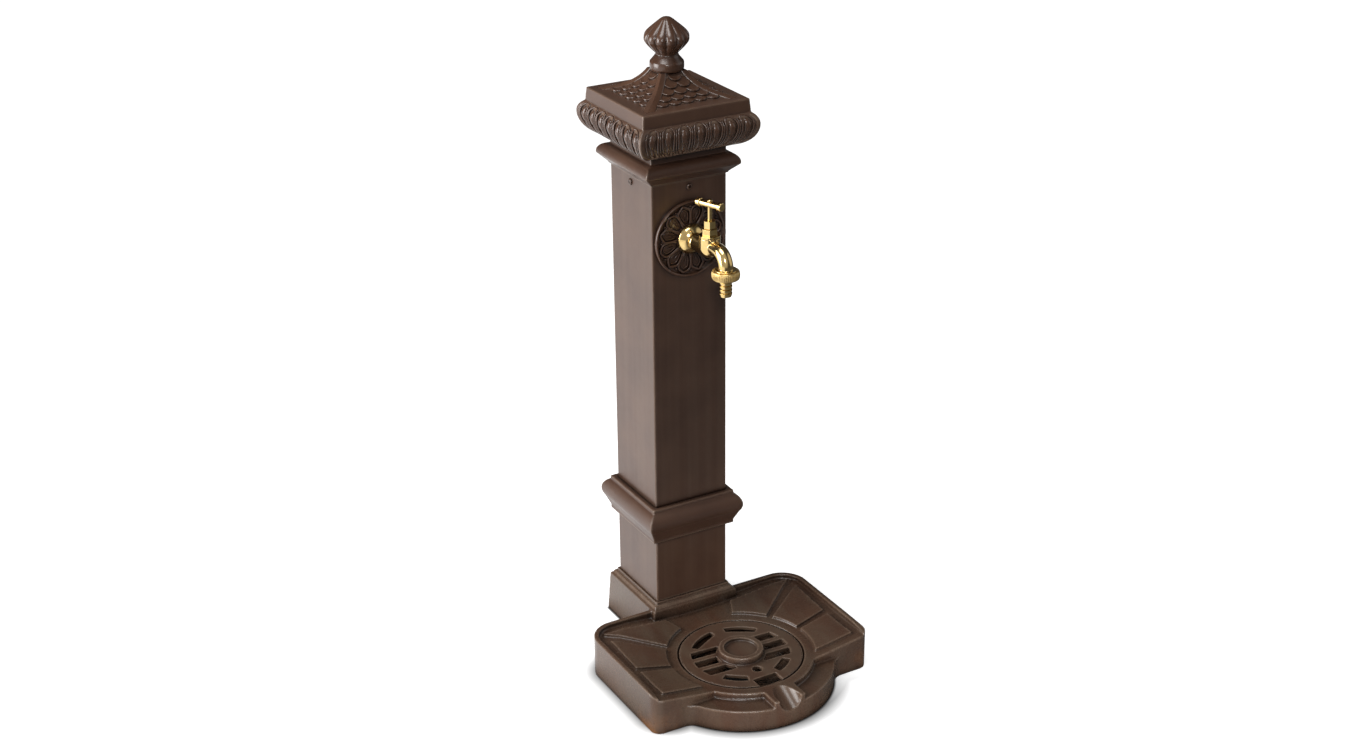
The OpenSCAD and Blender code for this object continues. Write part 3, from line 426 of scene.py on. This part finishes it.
# Cap: collar, neck, cornice, plate and roof in one casting, whose skirt reaches down into the tube.
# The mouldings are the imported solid's, softened, with the cornice's ground sunk behind the ornament
# that follows.
cap_paint = brown_paint("cast_cap_paint", grit=0.3, gloss=0.36)
ornament_paint = brown_paint("cast_ornament_paint", grit=0.12, gloss=0.24, edges=False)
column_axis = Vector((0, 103 * mm, 0))
cornice_half, cornice_low, cornice_mid, cornice_high = 79 * mm, 645.5 * mm, 673.5 * mm, 688.5 * mm
ornament_depth, corner_strip, skirt_reach = 2.6 * mm, [3.5 * mm, 7 * mm], 52 * mm
cap = cast_skin(merged_copy("cap", "cap_casting"), 0.9 * mm, 120000, 2)
for vertex in cap.data.vertices:
    rise = np.interp(vertex.co.z, [cornice_low, cornice_low + 10 * mm, cornice_mid + 8 * mm, cornice_high],
                     [0, 1, 1, 0])
    away = vertex.co - column_axis
    reach = max(abs(away.x), abs(away.y))
    rise *= np.interp(abs(abs(away.x) - abs(away.y)), corner_strip, [0, 1])
    if rise > 0 and reach > skirt_reach:
        share = 1 - rise * ornament_depth / reach
        vertex.co.x = column_axis.x + share * away.x
        vertex.co.y = column_axis.y + share * away.y
cap.data.materials.append(cap_paint)
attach(cap, "stand")
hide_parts("cap_casting")

# Cornice ornament: a row of tongues, each an arched rim round a raised egg, with a dart between each two.
# One tongue is made flat, set out along a strip by nodes, and the strip is bent round the cornice's section.
cornice_low_r, cornice_top_r = 28 * mm, 15 * mm
tongue_count, tongue_pitch, tongue_half = 7, 21.0 * mm, 7.9 * mm
arch_top, tongue_foot, rim_rod_r, rim_lift = 14.0 * mm, -40 * mm, 1.35 * mm, 1.2 * mm
egg = 4.7 * mm, 11 * mm, 2.6 * mm
egg_stem = 3.0 * mm, 15 * mm, 1.9 * mm, (0, -22 * mm)


def between_rings(count, sides, closed=False):
    """Faces between rings of corners that follow one another, and from the last to the first if closed."""
    faces = []
    for i in range(count if closed else count - 1):
        n = (i + 1) % count
        for j in range(sides):
            k = (j + 1) % sides
            faces.append((i * sides + j, i * sides + k, n * sides + k, n * sides + j))
    return faces


def rod(path, radius, sides=8):
    """A round rod along a flat path of (x, y, height) points: its corners and faces."""
    path = np.asarray(path, float)
    ahead = np.roll(path, -1, 0) - np.roll(path, 1, 0)
    ahead[0], ahead[-1] = path[1] - path[0], path[-1] - path[-2]
    ahead[:, 2] = 0
    ahead /= np.linalg.norm(ahead, axis=1)[:, None]
    across = np.stack([-ahead[:, 1], ahead[:, 0], 0 * ahead[:, 0]], 1)
    radius = np.broadcast_to(radius, len(path))[:, None]
    corners = [path + radius * (math.cos(a) * across + math.sin(a) * np.array([0, 0, 1.0]))
               for a in np.arange(sides) * 2 * math.pi / sides]
    corners = np.stack(corners, 1).reshape(-1, 3)
    faces = between_rings(len(path), sides)
    faces.append(tuple(range(sides))[::-1])
    faces.append(tuple((len(path) - 1) * sides + j for j in range(sides)))
    return corners, faces


def mound(half_x, half_y, height, at=(0, 0), rings=5, sides=16, sink=0.4 * mm):
    """A smooth oval mound on a flat ground: its corners and faces."""
    corners, faces = [(at[0], at[1], height)], []
    for i in range(1, rings + 1):
        lean = 0.5 * math.pi * i / rings
        for j in range(sides):
            a = 2 * math.pi * j / sides
            corners.append((at[0] + half_x * math.sin(lean) * math.cos(a),
                            at[1] + half_y * math.sin(lean) * math.sin(a),
                            height * math.cos(lean) - (sink if i == rings else 0)))
    for j in range(sides):
        k = (j + 1) % sides
        faces.append((0, 1 + j, 1 + k))
        for i in range(rings - 1):
            low, high = 1 + i * sides, 1 + (i + 1) * sides
            faces.append((low + j, high + j, high + k, low + k))
    faces.append(tuple(1 + (rings - 1) * sides + j for j in range(sides))[::-1])
    return np.array(corners), faces


def joined(*shapes):
    """Several lists of corners and faces as one."""
    corners, faces, start = [], [], 0
    for some, their in shapes:
        corners.append(np.asarray(some, float))
        faces += [tuple(start + i for i in face) for face in their]
        start += len(some)
    return np.concatenate(corners), faces


def mesh_of(name, corners, faces):
    """A smooth mesh with its faces turned outwards."""
    mesh = bpy.data.meshes.new(name)
    mesh.from_pydata([tuple(c) for c in corners], [], faces)
    work = bmesh.new()
    work.from_mesh(mesh)
    bmesh.ops.recalc_face_normals(work, faces=work.faces)
    work.to_mesh(mesh)
    work.free()
    mesh.shade_smooth()
    return mesh


def set_out_tree(name):
    """Nodes that set a shape of a given size on every point of a mesh, turned by the point's own angles."""
    tree = bpy.data.node_groups.new(name, "GeometryNodeTree")
    for label, kind in (("Points", "NodeSocketGeometry"), ("Shape", "NodeSocketObject"),
                        ("Size", "NodeSocketFloat"), ("Finish", "NodeSocketMaterial")):
        tree.interface.new_socket(label, in_out="INPUT", socket_type=kind)
    tree.interface.new_socket("Made", in_out="OUTPUT", socket_type="NodeSocketGeometry")
    nodes, links = tree.nodes, tree.links
    given, made = nodes.new("NodeGroupInput"), nodes.new("NodeGroupOutput")
    shape = nodes.new("GeometryNodeObjectInfo")
    angles = nodes.new("GeometryNodeInputNamedAttribute")
    angles.data_type = "FLOAT_VECTOR"
    angles.inputs["Name"].default_value = "turn"
    rotation = nodes.new("FunctionNodeEulerToRotation")
    placed = nodes.new("GeometryNodeInstanceOnPoints")
    real = nodes.new("GeometryNodeRealizeInstances")
    finish = nodes.new("GeometryNodeSetMaterial")
    links.new(given.outputs["Shape"], shape.inputs["Object"])
    links.new(given.outputs["Points"], placed.inputs["Points"])
    links.new(shape.outputs["Geometry"], placed.inputs["Instance"])
    links.new(angles.outputs["Attribute"], rotation.inputs["Euler"])
    links.new(rotation.outputs["Rotation"], placed.inputs["Rotation"])
    links.new(given.outputs["Size"], placed.inputs["Scale"])
    links.new(placed.outputs["Instances"], real.inputs["Geometry"])
    links.new(real.outputs["Geometry"], finish.inputs["Geometry"])
    links.new(given.outputs["Finish"], finish.inputs["Material"])
    links.new(finish.outputs["Geometry"], made.inputs["Made"])
    return tree


set_out = set_out_tree("set_out")


def set_out_on(name, shape_mesh, places, turns, material, size=1.0):
    """A piece with the shape at every place, turned by each place's Euler angles."""
    points = bpy.data.meshes.new(name)
    points.from_pydata([tuple(p) for p in places], [], [])
    layer = points.attributes.new("turn", "FLOAT_VECTOR", "POINT")
    layer.data.foreach_set("vector", np.asarray(turns, np.float32).ravel())
    made = piece(name, points)
    shape = piece(name + "_shape", shape_mesh)
    rule = made.modifiers.new("set_out", "NODES")
    rule.node_group = set_out
    for socket in set_out.interface.items_tree:
        if socket.in_out == "INPUT" and socket.name in ("Shape", "Size", "Finish"):
            rule[socket.identifier] = {"Shape": shape, "Size": size, "Finish": material}[socket.name]
    set_plain(made)
    bpy.data.objects.remove(shape)
    made.data.shade_smooth()
    return made


def bent_round(made, bend):
    """Bends a flat strip onto one side of the cap and repeats it on all four sides."""
    mesh = made.data
    flat = np.empty(3 * len(mesh.vertices), np.float32)
    mesh.vertices.foreach_get("co", flat)
    across, out, high = bend(*flat.reshape(-1, 3).T.astype(float))
    side = np.stack([across, -out, high], 1)
    mesh.vertices.foreach_set("co", side.astype(np.float32).ravel())
    work = bmesh.new()
    work.from_mesh(mesh)
    front = list(work.faces) + list(work.edges) + list(work.verts)
    for quarter in (1, 2, 3):
        copy = bmesh.ops.duplicate(work, geom=front)["geom"]
        bmesh.ops.rotate(work, verts=[v for v in copy if isinstance(v, bmesh.types.BMVert)],
                         cent=(0, 0, 0), matrix=Matrix.Rotation(quarter * math.pi / 2, 3, "Z"))
    bmesh.ops.translate(work, verts=work.verts, vec=column_axis)
    bmesh.ops.recalc_face_normals(work, faces=work.faces)
    work.to_mesh(mesh)
    work.free()


def onto_cornice(x, run, lift):
    """Across, out and up for a point of the flat strip: run is measured up the cornice from its belly."""
    upper = run > 0
    lean = np.where(upper, run / cornice_top_r, run / cornice_low_r)
    radius = np.where(upper, cornice_top_r, cornice_low_r)
    middle = cornice_half - radius
    out = middle + radius * np.cos(lean)
    lift = lift - ornament_depth
    return (x * out / cornice_half, out + lift * np.cos(lean), cornice_mid + (radius + lift) * np.sin(lean))


arch = [(tongue_half * math.cos(a), arch_top - tongue_half + 1.15 * tongue_half * math.sin(a), rim_lift)
        for a in np.linspace(0, math.pi, 15)]
leg = [(tongue_half * (1 - 0.25 * t), tongue_foot * t + (arch_top - tongue_half) * (1 - t),
        rim_lift - 0.7 * mm * t)
       for t in np.linspace(1, 0, 10)[:-1]]
rim_path = leg + arch + [(-x, y, z) for x, y, z in leg[::-1]]
steps = np.linspace(0, 1, 12)
dart_path = [(tongue_pitch / 2, tongue_foot * (1 - t) + (arch_top - 0.5 * mm) * t, 0.9 * mm) for t in steps]
dart_width = np.interp(steps, [0, 0.45, 0.75, 1], [0.7 * mm, 1.0 * mm, 1.5 * mm, 0.8 * mm])
tongue = mesh_of("tongue", *joined(rod(rim_path, rim_rod_r), rod(dart_path, dart_width),
                                   mound(*egg), mound(*egg_stem)))
places = [((i - (tongue_count - 1) / 2) * tongue_pitch, 0, 0) for i in range(tongue_count)]
tongues = set_out_on("cornice_tongues", tongue, places, [(0, 0, 0)] * tongue_count, ornament_paint)
bent_round(tongues, onto_cornice)
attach(tongues, "stand")

# Roof ornament: rows of overlapping fish scales between smooth bands that cover the four hips.
# Scales are set out by nodes on the flat slope, which is then bent to the roof's hollow curve.
roof_half, roof_foot, roof_curve = 62 * mm, 702.8 * mm, 53.446 * mm
roof_slope = 57.4 * mm
scale_r, scale_pitch, scale_row, scale_rows, first_row = 8.9 * mm, 16.6 * mm, 9.4 * mm, 5, 17 * mm
band_foot, band_end, band_full = 2 * mm, roof_slope - 0.5 * mm, 11 * mm


def onto_roof(x, run, lift):
    """Across, out and up for a point of the flat slope: run is measured up the roof from its foot."""
    lean = run / roof_curve
    out = roof_half - roof_curve * np.sin(lean)
    return x, out + lift * np.sin(lean), roof_foot + roof_curve * (1 - np.cos(lean)) + lift * np.cos(lean)


def hip_band(run):
    """Width of the smooth band beside a hip."""
    return np.interp(run, [0, roof_slope], [11.0 * mm, 6.5 * mm])


scale_rings = [(0.0, 0), (0.4, -0.2), (0.66, 0.0), (0.76, 1.0), (0.86, 1.5), (0.95, 1.1),
               (1.0, 0.0), (1.0, -1.6)]
corners, spokes = [], 20
for share, proud in scale_rings:
    for j in range(spokes):
        a = 2 * math.pi * j / spokes
        y = scale_r * share * math.sin(a)
        tilt = 0.6 - 0.9 * y / scale_r
        height = tilt + max(0.0, -math.sin(a)) * proud if proud > -1 else -1.0
        corners.append((scale_r * share * math.cos(a), y, height * mm))
fish_scale = mesh_of("fish_scale", corners, between_rings(len(scale_rings), spokes))
places = []
for row in range(scale_rows):
    run = first_row + row * scale_row
    room = roof_half - roof_curve * math.sin(run / roof_curve) - hip_band(run) - 1.0 * mm
    for i in range(-6, 7):
        x = (i + 0.5 * (row % 2)) * scale_pitch
        if abs(x) <= room:
            places.append((x, run, 0))
scales = set_out_on("roof_scales", fish_scale, places, [(0, 0, 0)] * len(places), ornament_paint)
bent_round(scales, onto_roof)
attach(scales, "stand")

steps = np.linspace(band_foot, band_end, 16)
band_section = [(0.0, 1.7), (0.4, 1.7), (0.68, 1.65), (0.84, 1.4), (0.94, 0.8), (1.0, 0.0), (1.0, -1.0)]
corners, faces, wide = [], [], len(band_section)
for run in steps:
    lean = run / roof_curve
    half = roof_half - roof_curve * math.sin(lean)
    for share, lift in band_section:
        lift *= mm * np.interp(run, [band_foot, band_full], [0.05, 1])
        meet = lift * math.sin(lean) if share == 0 else 0
        corners.append((half + meet - share * hip_band(run), run, lift))
for i in range(len(steps) - 1):
    for j in range(wide - 1):
        faces.append((i * wide + j, i * wide + j + 1, (i + 1) * wide + j + 1, (i + 1) * wide + j))
start = len(corners)
corners += [(-x, y, z) for x, y, z in corners]
faces += [tuple(start + i for i in face[::-1]) for face in faces]
bands = piece("hip_bands", mesh_of("hip_bands", corners, faces))
bands.data.materials.append(ornament_paint)
bent_round(bands, onto_roof)
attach(bands, "stand")

# Cap screws: four small pan-head screws through the tube into the cap's skirt, painted over.
# Each head has a cross recess, and nodes set one in the middle of each face.
screw_paint = brown_paint("screw_paint", grit=0.05, gloss=0.25, edges=False)
screw_r, screw_head_t, screw_z, face_out = 4.0 * mm, 2.2 * mm, 603 * mm, 50 * mm
sides, slot_half = 48, 0.13
head_rings = [(0.0, 0.60), (0.16, 0.60), (0.5, 0.58), (0.52, 0.98), (0.62, 0.97), (0.8, 0.86), (0.94, 0.6),
              (1.0, 0.3), (1.0, 0.0), (0.5, 0.0), (0.5, -3.6)]
corners = []
for share, height in head_rings:
    for j in range(sides):
        a = 2 * math.pi * j / sides
        depth = height
        if 0.1 < share < 0.51:
            in_slot = min(abs(math.cos(a)), abs(math.sin(a))) * share < slot_half
            depth = 0.55 if in_slot else 1.0
        corners.append((screw_r * share * math.cos(a), screw_r * share * math.sin(a), screw_head_t * depth))
faces = between_rings(len(head_rings), sides)
faces.append(tuple((len(head_rings) - 1) * sides + j for j in range(sides))[::-1])
pan_head = mesh_of("pan_head", corners, faces)
places, turns = [], []
for quarter in range(4):
    a = quarter * math.pi / 2
    places.append(column_axis + Vector((math.sin(a) * face_out, -math.cos(a) * face_out, screw_z)))
    turns.append((math.pi / 2, 0.0, a))
screws = set_out_on("cap_screw_heads", pan_head, places, turns, screw_paint)
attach(screws, "stand")
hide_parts("cap_screws")

# Finial: a lobed onion bulb over a round collar, cast in one and held by a stud and nut from inside the roof.
# The bulb is drawn as rings whose radius follows the profile and dips between the twelve lobes.
finial_top, bulb_foot, belly_r = 792.2 * mm, 748.8 * mm, 27.0 * mm
lobe_count, lobe_depth, lobe_power = 12, 0.125, 0.6
collar_profile = [(730.4, 15.0), (730.4, 19.0), (731.4, 19.7), (733.2, 20.1), (736.0, 20.2), (739.4, 20.1),
                  (740.8, 19.7), (741.6, 19.0), (743.4, 17.5), (745.6, 15.6), (747.2, 14.3), (748.4, 13.8)]
bulb_profile = [(0.0, 0.49), (0.05, 0.52), (0.10, 0.60), (0.186, 0.74), (0.29, 0.885), (0.39, 0.985),
                (0.454, 1.0), (0.515, 0.978), (0.60, 0.896), (0.70, 0.733), (0.80, 0.545), (0.887, 0.375),
                (0.948, 0.25), (0.985, 0.13), (1.0, 0.03)]
shares = np.concatenate([np.linspace(0, 0.95, 46), np.linspace(0.96, 1.0, 7)])
known = np.array(bulb_profile)
slopes = np.gradient(known[:, 1], known[:, 0])
radii = []
for s in shares:
    i = min(np.searchsorted(known[:, 0], s, "right") - 1, len(known) - 2)
    step = known[i + 1, 0] - known[i, 0]
    t = (s - known[i, 0]) / step
    radii.append((2 * t**3 - 3 * t**2 + 1) * known[i, 1] + (t**3 - 2 * t**2 + t) * step * slopes[i]
                 + (3 * t**2 - 2 * t**3) * known[i + 1, 1] + (t**3 - t**2) * step * slopes[i + 1])
sectors = 14 * lobe_count
around = np.arange(sectors) * 2 * math.pi / sectors
rings = [(z * mm, np.full(sectors, r * mm)) for z, r in collar_profile]
for s, r in zip(shares, radii):
    lobe = np.abs(np.sin(lobe_count * around / 2)) ** lobe_power
    deep = lobe_depth * math.sin(math.pi * min(1.0, 0.08 + 0.92 * s)) ** 0.9
    rings.append((bulb_foot + (finial_top - bulb_foot) * s, belly_r * r * (1 - deep * (1 - lobe))))
corners = [(r * math.cos(a), r * math.sin(a), z) for z, ring in rings for r, a in zip(ring, around)]
faces = between_rings(len(rings), sectors)
faces.append(tuple(range(sectors))[::-1])
faces.append(tuple((len(rings) - 1) * sectors + j for j in range(sectors)))
corners = np.array(corners) + np.array(column_axis)
finial = piece("finial_bulb", mesh_of("finial_bulb", corners, faces))
finial.data.materials.append(brown_paint("cast_finial_paint", grit=0.05, gloss=0.22, edges=False))
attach(finial, "stand")
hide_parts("finial")
give(zinc_steel("zinc_fastener"), "finial_stud", "finial_nut")

# Medallion: a cast rosette plate with a raised rim, clamped between the tap's flange and the column.
# Its petals and beads are set out round the tap by nodes.
medal_paint = brown_paint("cast_medallion_paint", grit=0.08, gloss=0.25, edges=False)
tap_axis = Vector((0, 53 * mm, 540 * mm))
petal_count, bead_out = 12, 39.6 * mm
petal_rim = 17.5 * mm, 42.0 * mm, 8.0 * mm
petal_line = 22 * mm, 37.5 * mm, 4.6 * mm


def on_column(made):
    """Moves a shape that lies flat, face up, to stand on the column's front round the tap."""
    made.data.transform(Matrix.Translation(tap_axis) @ Matrix.Rotation(math.pi / 2, 4, "X"))
    return made


def turned(section, sides):
    """A ring turned from a closed section of radii and heights in millimetres: its corners and faces."""
    around = np.arange(sides) * 2 * math.pi / sides
    corners = [(r * mm * math.cos(a), r * mm * math.sin(a), h * mm) for r, h in section for a in around]
    return np.array(corners), between_rings(len(section), sides, closed=True)


plate_section = [(10.6, 0.0), (47.0, 0.0), (47.0, 3.6), (46.6, 4.6), (45.8, 5.0), (44.9, 4.8), (44.2, 4.0),
                 (43.7, 2.2), (42.6, 1.3), (41.8, 1.1), (30.0, 1.0), (19.4, 1.1), (18.9, 4.2), (10.6, 4.2)]
medal = on_column(piece("medallion_plate", mesh_of("medallion_plate", *turned(plate_section, 160))))
medal.data.set_sharp_from_angle(angle=math.radians(50))
medal.data.materials.append(medal_paint)
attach(medal, "stand")
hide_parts("medallion")


def petal_outline(root, tip, half, power):
    """A petal's edge from its root round the tip and back: a low power draws the tip to a point."""
    run = np.linspace(0, 1, 17)
    opening = 0.42 + 0.58 * np.sin(0.5 * math.pi * np.clip(run / 0.68, 0, 1))
    width = half * opening * (1 - np.clip((run - 0.68) / 0.32, 0, 1) ** power)
    right_side = [(root + (tip - root) * t, -w) for t, w in zip(run, width)]
    left_side = [(x, -y) for x, y in right_side[-2::-1]]
    return right_side + left_side


def petal_mesh(name, power):
    """A petal: a bold rim, a finer line inside it and a raised vein."""
    outer = [(x, y, 2.8 * mm) for x, y in petal_outline(*petal_rim, power)]
    inner = [(x, y, 1.5 * mm) for x, y in petal_outline(*petal_line, power)]
    vein = mound(5.5 * mm, 1.0 * mm, 2.6 * mm, (28 * mm, 0))
    return mesh_of(name, *joined(rod(outer, 1.4 * mm), rod(inner, 0.9 * mm), vein))


angles = [(i + 0.5) * 2 * math.pi / petal_count for i in range(petal_count)]
for name, power, chosen in (("round_petals", 2.4, angles[0::2]), ("pointed_petals", 1.3, angles[1::2])):
    petals = set_out_on(name, petal_mesh(name + "_one", power), [(0, 0, 0)] * len(chosen),
                        [(0, 0, a) for a in chosen], medal_paint)
    on_column(petals)
    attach(petals, "stand")
bead_hook = [(2.9 * mm * math.cos(a), 2.9 * mm * math.sin(a), 2.4 * mm)
             for a in np.linspace(0.6 * math.pi, 1.4 * math.pi, 9)]
bead = mesh_of("bead", *joined(mound(1.7 * mm, 1.7 * mm, 4.3 * mm, sink=0), rod(bead_hook, 0.8 * mm)))
angles = [i * 2 * math.pi / petal_count for i in range(petal_count)]
places = [(bead_out * math.cos(a), bead_out * math.sin(a), 0) for a in angles]
beads = on_column(set_out_on("medallion_beads", bead, places, [(0, 0, a) for a in angles], medal_paint))
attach(beads, "stand")

# Bib tap: cast and turned brass, polished. The flange covers the hole, the body carries the bonnet and spout,
# and the spindle runs up through the gland nut to its T-bar. The bonnet's lip hides the washer under it.
brass_deep = (0.50, 0.33, 0.12)
brass_bright = (0.78, 0.59, 0.27)
spindle_y, lip_low, lip_high, lip_from, lip_drop = 6 * mm, 556.9 * mm, 557.6 * mm, 12 * mm, 0.8 * mm


def brass(name, rough=0.13):
    """Polished brass: warm, slightly blotched, with fine turning and rubbing marks."""
    material, nodes, links, shader = shader_tree(name)
    spot = nodes.new("ShaderNodeTexCoord").outputs["Object"]
    blotch = grain(nodes, links, spot, 130, 5)
    links.new(mixed(nodes, links, blotch, brass_deep, brass_bright), shader.inputs["Base Color"])
    shader.inputs["Metallic"].default_value = 1.0
    marks = grain(nodes, links, spot, 900)
    links.new(mapped(nodes, links, marks, 0, 1, rough - 0.06, rough + 0.08), shader.inputs["Roughness"])
    dents = bumped(nodes, links, blotch, 0.12, 0.2 * mm)
    links.new(dents.outputs["Normal"], shader.inputs["Normal"])
    return material


def eased_copy(name, node, width, angle=30, segments=2):
    """A copy of a turned or milled node with its sharp edges broken by a small round."""
    made = merged_copy(name, node)
    work = bmesh.new()
    work.from_mesh(made.data)
    bmesh.ops.dissolve_limit(work, angle_limit=math.radians(0.8), verts=work.verts, edges=work.edges)
    work.to_mesh(made.data)
    work.free()
    made.data.shade_smooth()
    edge = made.modifiers.new("ease", "BEVEL")
    edge.width, edge.segments = width, segments
    edge.limit_method, edge.angle_limit = "ANGLE", math.radians(angle)
    edge.harden_normals = True
    return set_plain(made)


polished = brass("polished_brass")
tap = cast_skin(merged_copy("tap", "tap_body"), 0.4 * mm, 90000, 10)
tap.data.materials.append(polished)
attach(tap, "stand")
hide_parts("tap_body")
for name, node, width, body in (("tap_rose", "wall_flange", 0.4, "stand"),
                                ("tap_bonnet", "bonnet", 0.45, "stand"),
                                ("tap_gland", "gland_nut", 0.4, "stand"),
                                ("tap_spindle", "spindle", 0.15, "handle"),
                                ("tap_handle", "handle_bar", 0.15, "handle"),
                                ("tail_barbs", "hose_tail", 0.25, "hose_coupling")):
    made = eased_copy(name, node, width * mm)
    if node == "bonnet":
        for vertex in made.data.vertices:
            out = math.hypot(vertex.co.x, vertex.co.y - spindle_y)
            if lip_low < vertex.co.z < lip_high and out > lip_from:
                vertex.co.z -= lip_drop
    made.data.materials.append(polished)
    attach(made, body)
    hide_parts(node)

# Union nut: a turned brass ring with a knurled rim, which draws the hose tail up to the spout.
# The ridges of the knurl are set out round the rim by nodes.
knurl_brass = brass("knurled_brass", 0.4)
nut_axis, nut_rim_r, ridge_count = Vector((0, -30 * mm, 0)), 16.5 * mm, 48
nut_section = [(7.95, 515.5), (11.0, 515.5), (11.8, 516.0), (12.2, 516.9), (14.9, 517.0), (15.5, 517.4),
               (15.7, 518.0), (15.7, 526.0), (15.5, 526.6), (14.9, 527.0), (13.6, 527.0), (13.2, 526.6),
               (13.2, 518.0), (7.95, 518.0)]
nut_low, nut_high = 517.6 * mm, 526.4 * mm
corners, faces = turned(nut_section, 128)
nut = piece("union_ring", mesh_of("union_ring", corners + np.array(nut_axis), faces))
nut.data.set_sharp_from_angle(angle=math.radians(50))
nut.data.materials.append(knurl_brass)
ridge_half = (nut_high - nut_low) / 2
ridge = mesh_of("ridge", *mound(ridge_half, 0.75 * mm, 0.9 * mm, rings=3, sides=10))
places, turns = [], []
for i in range(ridge_count):
    a = 2 * math.pi * i / ridge_count
    out = nut_rim_r - 0.95 * mm
    places.append(nut_axis + Vector((out * math.cos(a), out * math.sin(a), (nut_low + nut_high) / 2)))
    turns.append((0, math.pi / 2, a))
ridges = set_out_on("knurl_ridges", ridge, places, turns, knurl_brass)
for made in (nut, ridges):
    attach(made, "coupling_nut")
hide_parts("union_nut")

# Inside the tap and column: nuts, washers and the copper riser that the maker fits before the cap goes on.
# None of it shows from outside.
give(brass("turned_brass", 0.3), "back_nut", "jumper_valve", "riser_elbow", "inlet_fitting", "inlet_nut")
give(zinc_steel("zinc_washer"), "back_washer")


def rubber(name):
    """Black rubber: matt, with a faint moulded grain."""
    material, nodes, links, shader = shader_tree(name)
    spot = nodes.new("ShaderNodeTexCoord").outputs["Object"]
    mould = grain(nodes, links, spot, 1200)
    tone = mixed(nodes, links, mould, (0.012, 0.012, 0.013), (0.03, 0.03, 0.03))
    links.new(tone, shader.inputs["Base Color"])
    shader.inputs["Roughness"].default_value = 0.8
    return material


give(rubber("tap_rubber"), "bonnet_washer", "gland_packing", "tap_washer", "union_washer")


def drawn_copper(name):
    """Copper pipe: drawn along its length, a little dulled."""
    material, nodes, links, shader = shader_tree(name)
    spot = nodes.new("ShaderNodeTexCoord").outputs["Object"]
    draw = grain(nodes, links, spot, 5, 2, (300, 300, 6))
    tone = mixed(nodes, links, draw, (0.42, 0.17, 0.09), (0.66, 0.31, 0.18))
    links.new(tone, shader.inputs["Base Color"])
    shader.inputs["Metallic"].default_value = 1.0
    shader.inputs["Roughness"].default_value = 0.35
    return material


give(drawn_copper("riser_copper"), "riser_pipe")
